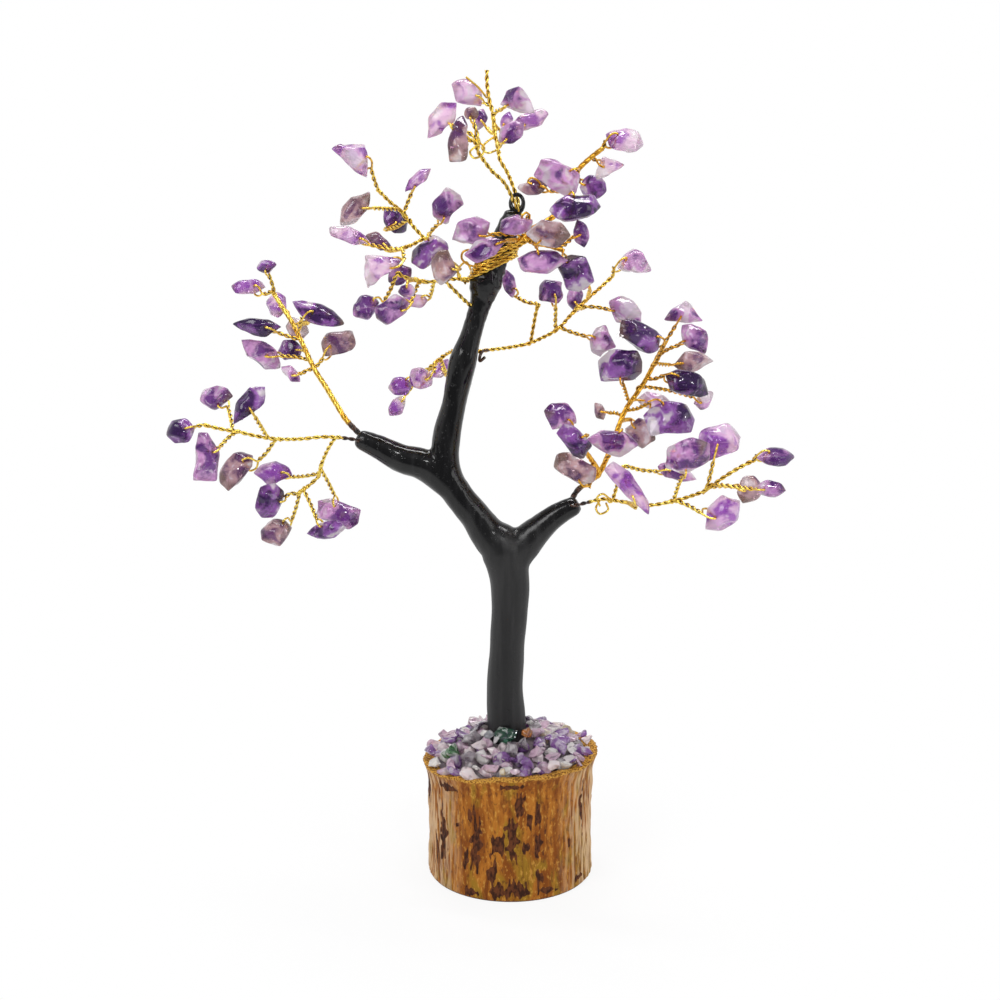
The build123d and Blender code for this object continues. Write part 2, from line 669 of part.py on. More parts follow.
def bark():
    """The bark sleeve: a slight waist, a flared rim and a slanted top."""
    inner = LOG_RADIUS + FIT_GAP
    outer = LOG_RADIUS + BARK_THICKNESS
    top = LOG_HEIGHT + BARK_RIM_RISE + BARK_RIM_SLANT
    rim_foot = LOG_HEIGHT + BARK_RIM_RISE - BARK_RIM_DEPTH
    waist = LOG_RADIUS + BARK_THICKNESS * BARK_WAIST_SHARE
    side = ThreePointArc((outer, BARK_FOOT_CHAMFER), (waist, LOG_HEIGHT / 2), (outer, rim_foot))
    flare = TangentArc(side @ 1, (outer + BARK_RIM_FLARE, top - BARK_RIM_SLANT), tangent=side % 1)
    outline = Polyline(flare @ 1, (outer + BARK_RIM_FLARE, top), (inner, top), (inner, 0))
    foot = Polyline((inner, 0), (outer - BARK_FOOT_CHAMFER, 0), side @ 0)
    profile = make_face([side, flare, outline, foot])
    sleeve = revolve(Plane.XZ * profile, Axis.Z)
    slant = math.degrees(math.atan2(BARK_RIM_SLANT, 2 * outer))
    cut_plane = Plane((0, 0, LOG_HEIGHT + BARK_RIM_RISE)).rotated((0, -slant, 0))
    lid = extrude(cut_plane * Rectangle(4 * outer, 4 * outer), CUT_OVERRUN + BARK_RIM_SLANT)
    return [(sleeve - lid).solid()]


def bed_top(radius):
    """Height of the glue bed's sloping top at a distance from the log's middle."""
    share = radius / LOG_RADIUS
    return LOG_HEIGHT + BED_EDGE + BED_RISE * (1 - share)


def glue_bed():
    """The cone of glue that the gravel sits on, with the hole for the trunk."""
    foot = trunk_foot()
    floor_edge = (LOG_RADIUS, LOG_HEIGHT)
    top_edge = (LOG_RADIUS, bed_top(LOG_RADIUS))
    profile = Polyline((0, LOG_HEIGHT), floor_edge, top_edge, (0, bed_top(0)), close=True)
    cone = revolve(make_face(Plane.XZ * profile), Axis.Z)
    hole_radius = TRUNK_RADIUS * TRUNK_FOOT_SHARE + ROOT_GAP
    hole = Solid.make_cylinder(hole_radius, BED_RISE + CUT_OVERRUN, Plane(foot))
    return [(cone - hole).solid()]


def gravel():
    """Small chips in rings on the sloping bed, sorted by stone."""
    stones = {"amethyst": [], "quartz": [], "colour": []}
    slope = math.atan2(BED_RISE, LOG_RADIUS)
    outlines = list(OUTLINE_SHARES.values())
    index = 0
    for share in GRAVEL_SPREAD_SHARES:
        ring_radius = LOG_RADIUS * share
        count = int(2 * math.pi * ring_radius / (GRAVEL_LENGTH * GRAVEL_PITCH_SHARE))
        for i in range(count):
            angle = 2 * math.pi * i / count + math.radians(GOLDEN_TURN * share)
            radial = Vector(math.cos(angle), math.sin(angle), 0)
            normal = radial * math.sin(slope) + Vector(0, 0, math.cos(slope))
            spin = math.radians(GOLDEN_TURN * index)
            tangent = normal.cross(radial).normalized()
            down = tangent.cross(normal)
            length = tangent * math.cos(spin) + down * math.sin(spin)
            width = normal.cross(length)
            base = radial * ring_radius + Vector(0, 0, bed_top(ring_radius)) + normal * SEAT_GAP
            size = GRAVEL_LENGTH / 2 * (1 - GRAVEL_SIZE_SWAY_SHARE * (1 + math.sin(index)))
            outline = outlines[index % len(outlines)]
            flat = [(length * x + width * (y * GRAVEL_WIDTH_SHARE)) * size for x, y in outline]
            rings = [
                [base + point * wide + normal * (size * rise) for point in flat]
                for wide, rise in GRAVEL_RING_SHARES
            ]
            kind = "amethyst"
            if index % COLOUR_EVERY == QUARTZ_EVERY:
                kind = "colour"
            elif index % QUARTZ_EVERY == 1:
                kind = "quartz"
            stones[kind].append(faceted(rings))
            index += 1
    return stones


def binding_path():
    """The line of the wire wound round the upper trunk."""
    low, high = (spot(*p) for p in BINDING_PX)
    axis = (high - low).normalized()
    side, up = upright_to(axis)
    count = BINDING_TURNS * BINDING_STEPS
    points = []
    for i in range(count + 1):
        share = i / count
        radius = TRUNK_RADIUS * (BINDING_SHARES[0] * (1 - share) + BINDING_SHARES[1] * share)
        radius += BINDING_RADIUS + SEAT_GAP
        angle = 2 * math.pi * i / BINDING_STEPS
        around = side * math.cos(angle) + up * math.sin(angle)
        points.append(low + axis * (BINDING_PITCH * i / BINDING_STEPS) + around * radius)
    return points


def binding_wire():
    """The winding round the upper trunk, one unbroken wire."""
    points = binding_path()
    steps = BINDING_STEPS // 2
    gap = min(
        (a - b).length - 2 * BINDING_RADIUS for i, a in enumerate(points) for b in points[i + steps :]
    )
    print(f"binding wire: least gap to itself {gap:.2f} mm")
    return [wire_along(points, BINDING_RADIUS, WIRE_SIDES)]


def spray_nodes():
    """Every spray's stem, twigs and chips, by node name."""
    nodes = {}
    index = 0
    for spray in SPRAYS:
        nodes[f"{spray.name}_stem"] = [
            wire_along(path, spray.stem_radius, STEM_SIDES) for path in stem_paths(spray)
        ]
        chips = threaded_chips(spray, index)
        index += len(chips)
        nodes[f"{spray.name}_twigs"] = [
            wire_along(chip.twig, TWIG_WIRE_RADIUS, WIRE_SIDES) for chip in chips
        ]
        for threaded in chips:
            kind = threaded.chip.node
            name = f"{spray.name}_{kind}_chips" if kind in TONES else kind
            nodes.setdefault(name, []).append(chip_solid(threaded))
    return nodes


def main():
    """Builds every piece and writes one file for each node."""
    nodes = {
        "base_log": base_log(),
        "bark": bark(),
        "glue_bed": glue_bed(),
        "trunk": trunk(),
        "trunk_core": trunk_core(),
        "binding_wire": binding_wire(),
    }
    nodes.update({f"gravel_{stone}": chips for stone, chips in gravel().items()})
    nodes.update(spray_nodes())
    os.makedirs("parts", exist_ok=True)
    for name, solids in nodes.items():
        export_step(Compound(children=solids), f"parts/{name}.step")


if __name__ == "__main__":
    main()
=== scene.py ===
import json
import math
import random
from typing import NamedTuple

import bmesh
import bpy
from mathutils import Matrix, Vector, noise

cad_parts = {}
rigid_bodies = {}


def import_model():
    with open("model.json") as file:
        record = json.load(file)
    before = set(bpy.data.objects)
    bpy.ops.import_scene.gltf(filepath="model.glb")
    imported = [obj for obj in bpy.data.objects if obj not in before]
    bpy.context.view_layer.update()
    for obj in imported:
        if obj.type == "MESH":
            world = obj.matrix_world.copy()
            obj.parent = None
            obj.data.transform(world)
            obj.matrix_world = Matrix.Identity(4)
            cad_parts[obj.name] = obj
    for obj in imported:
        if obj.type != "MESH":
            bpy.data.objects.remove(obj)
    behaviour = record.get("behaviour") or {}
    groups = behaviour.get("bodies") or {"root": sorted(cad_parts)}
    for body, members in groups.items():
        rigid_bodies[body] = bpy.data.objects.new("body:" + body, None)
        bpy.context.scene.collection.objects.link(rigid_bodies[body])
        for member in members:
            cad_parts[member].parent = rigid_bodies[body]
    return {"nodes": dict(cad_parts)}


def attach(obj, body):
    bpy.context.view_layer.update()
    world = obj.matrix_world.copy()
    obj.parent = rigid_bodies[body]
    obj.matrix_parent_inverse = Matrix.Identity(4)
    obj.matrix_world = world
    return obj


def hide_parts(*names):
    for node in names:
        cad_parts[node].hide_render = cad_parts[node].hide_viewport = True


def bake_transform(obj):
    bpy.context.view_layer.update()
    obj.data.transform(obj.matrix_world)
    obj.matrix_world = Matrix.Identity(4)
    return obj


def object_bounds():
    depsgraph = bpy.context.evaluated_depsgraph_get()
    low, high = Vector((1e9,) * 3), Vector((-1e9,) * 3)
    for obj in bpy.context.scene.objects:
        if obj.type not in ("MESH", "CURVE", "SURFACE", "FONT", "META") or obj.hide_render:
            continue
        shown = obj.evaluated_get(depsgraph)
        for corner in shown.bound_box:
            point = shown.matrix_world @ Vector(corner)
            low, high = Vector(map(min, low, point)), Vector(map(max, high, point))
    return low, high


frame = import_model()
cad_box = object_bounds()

# Sizes of the ornament, in metres
MM = 0.001
TREE_HEIGHT = 200 * MM
LOG_RADIUS = 19 * MM
LOG_HEIGHT = 28.5 * MM
BARK_THICKNESS = 2 * MM
BARK_RIM_FLARE = 1.2 * MM
BARK_RIM_RISE = 2.4 * MM
BARK_RIM_DEPTH = 4.5 * MM
BARK_RIM_SLANT = 2.4 * MM
BED_RISE = 8.0 * MM
BED_EDGE = 1.6 * MM
TRUNK_RADIUS = 4.6 * MM
BINDING_PITCH = 1.6 * MM
BINDING_TURNS = 3
CHIP_LENGTH = 9.4 * MM
CHIP_HOLE_RADIUS = 0.5 * MM
CHIP_HOLE_WALL = 0.45 * MM
WIRE_RADIUS = 0.26 * MM
THIN_STEM_RADIUS = 0.5 * MM
THICK_STEM_RADIUS = 0.7 * MM
LOOP_EDGE_ROOM = 0.9 * MM
SEAT_GAP = 0.1 * MM
PAIR_GAP = 0.08 * MM
TWIST_PITCH = 3.5 * MM
TWIST_SLACK = 0.35
BUNDLE_TAPER = 0.55
BUNDLE_PITCH = 6.5 * MM
BUNDLE_STRANDS = 4
BUNDLE_WIRE_RADIUS = 0.36 * MM
PAINTED_ROOT = 7.4 * MM

# Shares and angles in degrees
CHIP_THICKNESS_SHARE = 0.66
CHIP_FACET_SHARE = 0.5
CHIP_SHIFT_SHARE = 0.07
CHIP_HOLE_SHARE = 0.45
SPRAY_SPREAD_SHARE = 1.6
GOLDEN_TURN = 137.5
TIP_LEAN = 55.0
CHIP_ROLL = 32.0
CHIP_PITCH = 20.0

# The tree is laid out in the photograph's columns and rows; depths are in the same units.
VIEW_REACH_SHARE = 1.9
VIEW_TILT = 11.9
VIEW_FOCAL_PX = 1576
PICTURE_PX = 1000
VIEW_CENTRE_PX = (500, 500)
FOOT_PX = (510, 866)
CHIP_LENGTH_PX = 38

VIEW_REACH = TREE_HEIGHT * VIEW_REACH_SHARE
TILT_SIN = math.sin(math.radians(VIEW_TILT))
TILT_COS = math.cos(math.radians(VIEW_TILT))
DEPTH_PITCH = VIEW_REACH / (VIEW_FOCAL_PX * TILT_COS)
VIEW_RIGHT = Vector((1, 0, 0))
VIEW_UP = Vector((0, TILT_SIN, TILT_COS))
VIEW_TOWARD = Vector((0, -TILT_COS, TILT_SIN))

# Trunk and arms: column, row, depth and girth as a share of TRUNK_RADIUS
TRUNK_PX_AND_SHARES = [
    (507, 735, 0, 1.10),
    (505, 690, 0, 1.00),
    (507, 650, 0, 0.98),
    (510, 608, 0, 1.00),
    (510, 578, 0, 1.08),
    (503, 548, 0, 1.28),
    (488, 534, 0, 0.96),
    (475, 516, 0, 0.84),
    (455, 490, 0, 0.80),
    (446, 464, 0, 0.77),
    (447, 434, 0, 0.72),
    (455, 400, 0, 0.68),
    (463, 361, 0, 0.72),
    (470, 338, 0, 0.58),
    (476, 318, 0, 0.52),
    (481, 300, 0, 0.62),
    (485.5, 283, 0, 0.92),
    (492, 268, 0, 0.74),
    (498, 253, 0, 0.62),
    (506, 234, 0, 0.60),
    (513, 216, 0, 0.54),
    (517, 203, 0, 0.46),
]
LEFT_ARM_PX_AND_SHARES = [
    (460, 494, 0, 0.78),
    (441, 478, 0, 0.80),
    (424, 465, 0, 0.86),
    (402, 459, 0, 0.78),
    (386, 451, 0, 0.69),
    (372, 444, 0, 0.61),
    (362, 440, 0, 0.54),
]
RIGHT_ARM_PX_AND_SHARES = [
    (508, 566, 0, 1.00),
    (524, 544, 0, 0.98),
    (544, 525, 0, 0.72),
    (559, 514, 0, 0.63),
    (574, 506, 0, 0.54),
]

BINDING_PX = [(489, 273, 0), (499, 251, 0)]
BINDING_SHARES = [0.82, 0.68]


class Stem(NamedTuple):
    """A twisted wire stem: the stem and place it leaves from, then column, row and depth."""

    parent: int
    at: float
    points: list


class Chip(NamedTuple):
    """A drilled chip: the stem and place of its twig, its centre, length, width, turn, form, node and lightness."""

    stem: int
    at: float
    column: float
    row: float
    depth: float
    length: float
    width: float
    turn: float
    form: str
    node: str
    lightness: float = 0.0


class Spray(NamedTuple):
    """A branch of wire with its chips, rooted in the trunk."""

    name: str
    stem_radius: float
    stems: list
    chips: list


# Outlines of the chips, as shares of half the length and half the width
OUTLINE_SHARES = {
    "leaf": [(-1.0, 0.1), (-0.45, -0.75), (0.3, -1.0), (1.0, -0.15), (0.55, 0.75), (-0.3, 1.0)],
    "wedge": [(-1.0, -0.7), (0.1, -1.0), (1.0, -0.35), (0.95, 0.3), (0.0, 0.75), (-0.95, 1.0)],
    "block": [(-1.0, -0.8), (0.6, -1.0), (1.0, -0.4), (0.9, 0.8), (-0.5, 1.0), (-1.0, 0.4)],
    "kite": [(-1.0, -0.1), (-0.1, -1.0), (1.0, 0.0), (0.75, 0.6), (0.1, 1.0), (-0.7, 0.6)],
    "pebble": [(-1.0, -0.3), (-0.4, -1.0), (0.6, -0.9), (1.0, 0.1), (0.4, 1.0), (-0.6, 0.85)],
    "shard": [(-1.0, 0.55), (-0.85, -0.5), (0.2, -1.0), (1.0, -0.3), (0.7, 0.5), (-0.2, 1.0)],
    "triangle": [(-1.0, -0.85), (0.3, -1.0), (1.0, -0.7), (0.5, 0.3), (0.05, 1.0), (-0.6, 0.3)],
}

SPRAYS = [
    Spray("left_low", THIN_STEM_RADIUS, [
        Stem(None, None, [(371, 442, -5), (343, 438, -8), (322, 437, -12), (300, 439, -16), (276, 439, -20),
                          (256, 436, -24), (239, 432, -26), (221, 429, -28), (204, 425, -30)]),
        Stem(0, 1.35, [(329, 447, -4), (323, 460, 4), (318, 477, 8)]),
        Stem(1, 3, [(307, 487, 9), (297, 494, 10)]),
    ], [
        Chip(0, 8, 180, 431, -34, 28, 25, 0, "pebble", "left_end_chip", 0.35),
        Chip(0, 6.1, 205, 455, -48, 46, 25, 95, "wedge", "mid"),
        Chip(0, 4.0, 236, 469, -10, 42, 27, 60, "block", "smoky"),
        Chip(0, 6.3, 216, 398, -8, 37, 26, 10, "kite", "mid"),
        Chip(0, 4.4, 248, 404, -38, 48, 22, 55, "leaf", "deep", 0.15),
        Chip(1, 2.75, 273, 473, 24, 38, 26, 0, "kite", "left_hanging_chip"),
        Chip(2, 2, 269, 501, 2, 36, 28, 90, "block", "deep"),
        Chip(2, 1.7, 277, 533, 14, 36, 33, 30, "kite", "smoky"),
        Chip(2, 1.3, 326, 530, -10, 42, 20, 15, "leaf", "deep", 0.2),
        Chip(1, 2.5, 338, 513, 24, 48, 28, -15, "block", "mid"),
    ]),
    Spray("left_high", THICK_STEM_RADIUS, [
        Stem(None, None, [(370, 444, 5), (348, 422, 9), (338, 407, 13), (326, 387, 18), (315, 370, 22),
                          (304, 347, 28), (293, 324, 33), (283, 308, 37), (272, 291, 41)]),
    ], [
        Chip(0, 8, 249, 287, 50, 36, 20, 20, "shard", "pale"),
        Chip(0, 7.7, 266, 266, 32, 22, 14, 20, "leaf", "deep", 0.5),
        Chip(0, 7.1, 277, 305, 64, 27, 23, 90, "pebble", "pale"),
        Chip(0, 5.3, 257, 326, 30, 46, 21, 0, "leaf", "deep", 0.15),
        Chip(0, 4.4, 261, 353, 40, 52, 28, -25, "leaf", "mid"),
        Chip(0, 5.6, 318, 314, 22, 56, 24, -8, "leaf", "deep", 0.35),
        Chip(0, 5.9, 297, 328, 62, 27, 20, -20, "pebble", "smoky"),
        Chip(0, 5.0, 290, 350, 62, 24, 22, 0, "pebble", "deep"),
        Chip(0, 4.1, 338, 343, 34, 36, 27, 20, "block", "smoky"),
        Chip(0, 4.0, 291, 374, 18, 26, 14, -25, "leaf", "mid"),
    ]),
    Spray("mid_left", THIN_STEM_RADIUS, [
        Stem(None, None, [(478, 279, -3), (455, 279, -8), (440, 281, -13), (425, 282, -18), (410, 279, -22),
                          (397, 274, -26)]),
        Stem(0, 0.75, [(455, 267, -2), (440, 254, 4), (426, 240, 8), (413, 226, 12), (403, 213, 16),
                       (390, 202, 12), (378, 190, 8)]),
        Stem(1, 3.1, [(412, 245, 2), (400, 249, -4)]),
    ], [
        Chip(1, 7, 356, 154, -4, 44, 31, -30, "triangle", "pale"),
        Chip(1, 5.3, 355, 209, -10, 44, 22, 50, "leaf", "smoky"),
        Chip(1, 4.9, 417, 180, 20, 34, 13, 43, "leaf", "pale"),
        Chip(1, 4.5, 396, 220, 44, 30, 27, -45, "pebble", "deep"),
        Chip(1, 3.0, 446, 205, -6, 32, 27, 60, "block", "mid"),
        Chip(2, 2, 350, 236, 10, 42, 17, -8, "shard", "pale"),
        Chip(2, 1.5, 378, 241, 28, 28, 16, -20, "leaf", "smoky"),
        Chip(2, 1.8, 376, 267, -20, 46, 30, 45, "triangle", "pale"),
        Chip(1, 2.2, 430, 252, -20, 38, 27, 55, "block", "deep", 0.4),
        Chip(1, 1.5, 444, 267, -50, 32, 25, 80, "kite", "smoky"),
        Chip(0, 3.4, 399, 275, -4, 26, 20, 20, "pebble", "mid"),
        Chip(0, 5, 366, 308, -16, 30, 27, 30, "kite", "mid"),
        Chip(0, 3.3, 391, 310, -38, 34, 24, 50, "block", "mid"),
        Chip(0, 2.4, 415, 301, -2, 26, 17, 15, "shard", "pale"),
        Chip(0, 3.8, 407, 291, -52, 16, 13, 0, "pebble", "mid"),
    ]),
    Spray("top_left", THIN_STEM_RADIUS, [
        Stem(None, None, [(516, 206, -5), (505, 184, -8), (492, 171, -11), (482, 158, -14), (477, 149, -16),
                          (478, 140, -18)]),
    ], [
        Chip(0, 5, 442, 119, -14, 44, 22, 55, "leaf", "pale"),
        Chip(0, 4.5, 459, 138, -42, 45, 22, 97, "wedge", "smoky"),
        Chip(0, 5, 471, 113, -20, 15, 13, 0, "pebble", "smoky"),
    ]),
    Spray("top_right", THIN_STEM_RADIUS, [
        Stem(None, None, [(519, 206, 5), (509, 176, 8), (500, 160, 10), (498, 148, 11), (495, 134, 12),
                          (493, 116, 12), (489, 98, 12), (487, 84, 12), (487, 70, 12)]),
    ], [
        Chip(0, 5.6, 467, 93, 14, 34, 27, -40, "kite", "pale"),
        Chip(0, 4.0, 480, 120, 34, 24, 16, 80, "leaf", "mid"),
        Chip(0, 5.0, 517, 99, -4, 38, 26, -12, "triangle", "mid"),
        Chip(0, 4.5, 506, 122, 32, 23, 13, 85, "leaf", "pale"),
        Chip(0, 3.0, 532, 119, 18, 34, 19, 25, "shard", "pale"),
        Chip(0, 3.4, 512, 133, -14, 29, 20, 40, "leaf", "mid"),
    ]),
    Spray("upper_right", THICK_STEM_RADIUS, [
        Stem(None, None, [(505, 246, -4), (521, 239, -22), (534, 228, -26), (550, 219, -26), (565, 207, -20),
                          (573, 190, -14), (577, 172, -12), (588, 160, -14), (603, 148, -18)]),
        Stem(0, 1.1, [(536, 243, -30), (550, 246, -28), (562, 250, -24)]),
    ], [
        Chip(0, 8, 625, 140, -18, 34, 25, 10, "block", "pale", 0.2),
        Chip(0, 7.0, 607, 166, -8, 30, 18, 35, "triangle", "pale", 0.2),
        Chip(0, 5.7, 559, 176, -34, 40, 28, -25, "block", "mid", 0.45),
        Chip(0, 5.0, 533, 187, -2, 30, 18, 10, "leaf", "smoky"),
        Chip(0, 5.0, 594, 187, 6, 28, 23, -20, "pebble", "deep", 0.35),
        Chip(0, 3.6, 576, 208, -46, 46, 26, 25, "block", "deep", 0.35),
        Chip(0, 1.3, 471, 232, -32, 40, 26, 30, "leaf", "mid"),
        Chip(0, 0.8, 486, 249, -46, 36, 22, 35, "shard", "mid"),
        Chip(0, 1.7, 516, 225, -46, 32, 21, 20, "pebble", "mid"),
        Chip(0, 2.3, 549, 234, -58, 42, 26, 10, "leaf", "smoky"),
        Chip(1, 2.6, 581, 233, -12, 28, 18, -60, "leaf", "mid"),
        Chip(1, 1.0, 541, 262, -52, 48, 23, 10, "shard", "mid", -0.1),
        Chip(1, 3, 576, 272, -32, 36, 29, -60, "block", "deep", 0.1),
    ]),
    Spray("mid_right", THIN_STEM_RADIUS, [
        Stem(None, None, [(468, 353, 4), (489, 350, 12), (506, 348, 18), (527, 344, 26), (542, 338, 32),
                          (558, 329, 38), (570, 316, 42), (584, 302, 46), (600, 288, 50), (612, 277, 54)]),
        Stem(0, 3.2, [(533, 328, 22), (536, 312, 18), (538, 304, 16)]),
    ], [
        Chip(0, 9, 633, 261, 53, 40, 28, 5, "triangle", "mid", 0.7),
        Chip(0, 6.6, 625, 311, 36, 40, 30, -35, "kite", "mid"),
        Chip(0, 5.1, 602, 342, 30, 33, 27, 80, "kite", "mid", 0.4),
        Chip(0, 4.8, 551, 291, 28, 26, 26, 0, "block", "mid"),
        Chip(0, 6.2, 575, 298, 70, 30, 20, -65, "leaf", "mid"),
        Chip(1, 3, 509, 283, 28, 30, 17, -60, "leaf", "mid"),
        Chip(0, 7.2, 586, 280, 24, 22, 13, 80, "leaf", "mid"),
    ]),
    Spray("back_left", THIN_STEM_RADIUS, [
        Stem(None, None, [(463, 346, 3), (448, 353, 24), (436, 362, 32), (425, 371, 38), (418, 375, 40)]),
    ], [
        Chip(0, 3.0, 398, 406, 54, 24, 18, 45, "kite", "pale"),
        Chip(0, 4, 400, 386, 30, 25, 22, 0, "pebble", "pale"),
        Chip(0, 2.0, 421, 378, 22, 26, 25, 20, "pebble", "pale"),
        Chip(0, 1.6, 440, 369, 56, 27, 16, 60, "leaf", "pale"),
    ]),
    Spray("right_high", THICK_STEM_RADIUS, [
        Stem(None, None, [(566, 511, 5), (577, 491, 8), (589, 482, 11), (600, 472, 14), (609, 452, 18),
                          (618, 428, 22), (626, 409, 26), (635, 396, 29), (645, 381, 32), (655, 362, 35),
                          (666, 341, 38)]),
        Stem(0, 2.9, [(590, 458, 2), (580, 445, -8), (573, 434, -14)]),
    ], [
        Chip(0, 10, 684, 312, 44, 39, 23, -3, "triangle", "mid", 0.45),
        Chip(0, 9.3, 694, 338, 22, 37, 28, -50, "kite", "mid"),
        Chip(0, 8.6, 641, 337, 8, 47, 29, -15, "block", "deep", 0.1),
        Chip(0, 6.3, 621, 365, 6, 42, 35, 10, "block", "deep"),
        Chip(0, 8.9, 693, 363, 56, 42, 24, 10, "leaf", "smoky"),
        Chip(0, 8.1, 687, 384, 24, 44, 28, -8, "block", "deep"),
        Chip(0, 7.6, 704, 401, 58, 27, 20, 50, "kite", "mid", 0.9),
        Chip(0, 5.9, 670, 418, 0, 50, 36, 15, "block", "deep", 0.35),
        Chip(0, 6.6, 654, 401, 56, 36, 19, 0, "leaf", "mid", 0.3),
        Chip(0, 5.3, 641, 433, 48, 33, 28, -30, "pebble", "smoky"),
        Chip(0, 3.4, 612, 443, -14, 56, 27, 8, "leaf", "mid", 0.3),
        Chip(0, 5.6, 600, 411, 44, 20, 13, -50, "leaf", "smoky"),
        Chip(1, 3, 560, 416, -22, 36, 29, -20, "kite", "mid"),
        Chip(1, 2.4, 574, 441, -48, 36, 22, -45, "block", "deep", 0.3),
        Chip(1, 0.6, 576, 468, -12, 44, 26, -20, "block", "smoky"),
    ]),
    Spray("right_low", THIN_STEM_RADIUS, [
        Stem(None, None, [(565, 508, -5), (589, 502, -10), (603, 499, -14), (618, 501, -19), (635, 504, -24),
                          (652, 505, -28), (669, 502, -32), (688, 497, -36), (706, 490, -40),
                          (721, 479, -43), (737, 469, -46), (752, 461, -48)]),
        Stem(0, 2.6, [(618, 482, -26), (624, 466, -30)]),
    ], [
        Chip(0, 11, 776, 457, -50, 37, 22, 15, "leaf", "right_end_chip", -0.2),
        Chip(0, 8.2, 750, 489, -28, 29, 25, 60, "pebble", "right_hanging_chip"),
        Chip(0, 8.5, 771, 489, -66, 26, 16, 8, "shard", "mid"),
        Chip(0, 8.0, 719, 441, -30, 42, 34, 30, "block", "pale"),
        Chip(0, 6.2, 688, 455, -60, 46, 36, 30, "pebble", "mid"),
        Chip(1, 2, 676, 473, -14, 46, 19, -12, "leaf", "mid"),
        Chip(0, 3.6, 629, 487, -62, 60, 20, -45, "shard", "pale", -0.4),
        Chip(0, 6.3, 722, 514, -46, 46, 32, 50, "leaf", "pale", -0.2),
    ]),
]
TONES = ("deep", "mid", "pale", "smoky")


# Bare wire ends that stick out of a spray: column, row and depth
STRAY_ENDS_PX = {
    "upper_right": [
        [(490, 262, -16), (478, 266, -18), (469, 265, -19), (462, 259, -20), (463, 252, -20), (470, 250, -20),
         (474, 255, -19)],
        [(541, 185, -4), (537, 180, -7), (531, 178, -8), (528, 182, -8), (532, 184, -9)],
    ],
    "mid_left": [
        [(462, 281, -8), (458, 270, -9), (466, 262, -8), (471, 270, -6)],
    ],
    "top_left": [
        [(476, 146, -16), (470, 152, -19), (474, 158, -22), (482, 155, -22), (484, 147, -19), (478, 142, -16)],
        [(478, 140, -17), (469, 141, -20), (463, 138, -21)],
    ],
    "top_right": [
        [(496, 136, 12), (488, 141, 9), (482, 148, 8), (488, 153, 8), (497, 150, 9)],
        [(487, 98, 12), (479, 88, 11), (471, 81, 10), (466, 77, 9)],
    ],
    "right_low": [
        [(600, 500, -14), (596, 508, -18), (600, 514, -20), (608, 510, -19), (606, 503, -16)],
        [(611, 500, -17), (603, 494, -21), (597, 498, -22), (600, 506, -21)],
    ],
}
# Short twisted wires that tie a stem back to the trunk, and hooks of painted wire
TIES_PX = {"mid_left": [(471, 306, -4), (464, 300, -7), (456, 292, -9), (445, 281, -11)]}
HOOKS_PX = {"mid_right": [(489, 350, 12), (483, 351, 8), (480, 356, 6), (480, 361, 5), (485, 357, 4)]}
PAINTED_ROOTS = ("left_low", "left_high", "right_low", "right_high")
ROOT_REACH = 2.5 * MM
ROOT_ENDS_PX = {"top_right": (514, 218, 1)}
# How far each spray's wire leans from bright yellow to deep orange gold
WIRE_WARMTH = {
    "left_low": 0.15, "left_high": 0.45, "mid_left": 0.45, "top_left": 0.2, "top_right": 0.35,
    "upper_right": 0.85, "mid_right": 0.55, "back_left": 0.4, "right_high": 0.9, "right_low": 0.35,
}
BINDING_WARMTH = 0.65
TWIG_BOW = 0.5 * MM
# The binding: slanted turns, and lays of wire that run across the trunk to the spray they hold
BINDING_STRANDS = 1
BINDING_SLANT = 1.0
BINDING_LAYS_PX = [
    [(473, 270, -5), (481, 265, -14), (491, 259, -18), (501, 252, -19), (511, 245, -25), (521, 239, -35)],
    [(475, 264, -4), (484, 259, -14), (493, 254, -18), (502, 249, -19), (511, 247, -24), (523, 241, -34)],
    [(480, 269, -11), (490, 264, -17), (500, 259, -17), (509, 252, -18), (520, 245, -28), (531, 238, -40)],
]
TOP_EYE_PX = (517, 203, -1)
TOP_EYE_RADIUS = 1.5 * MM
TOP_EYE_WIRE = 0.38 * MM
TRUNK_FOOT_SHARE = 1.22
ROPEY_FROM = 138 * MM
# Heights where the coat turns from gloss to satin; the satin part is also painted lighter, a painted reflection of
# the floor
GLOSSY_FROM = 100 * MM
SATIN_AND_SHEEN_BELOW = 78 * MM

# Dark flakes on the bark's front: column, row, half width and half height
FLAKES_PX = [
    (520, 806, 4.5, 13), (539, 816, 3.2, 14), (540, 846, 5, 10), (530, 822, 3, 9), (512, 839, 6, 18),
    (497, 846, 5.5, 10), (476, 843, 5.5, 24), (465, 862, 3.5, 11), (492, 874, 6, 12), (516, 890, 11, 9),
    (526, 848, 3.5, 6), (469, 815, 2, 8), (443, 830, 5, 24), (436, 850, 3, 16), (580, 877, 7, 3),
    (539, 876, 3, 8), (450, 788, 13, 3.5), (507, 787, 13, 2.5), (498, 890, 6, 9), (570, 843, 2.5, 5),
    (582, 806, 3, 20), (457, 825, 1.7, 2.5), (470, 892, 9, 3.5), (548, 890, 8, 3),
]

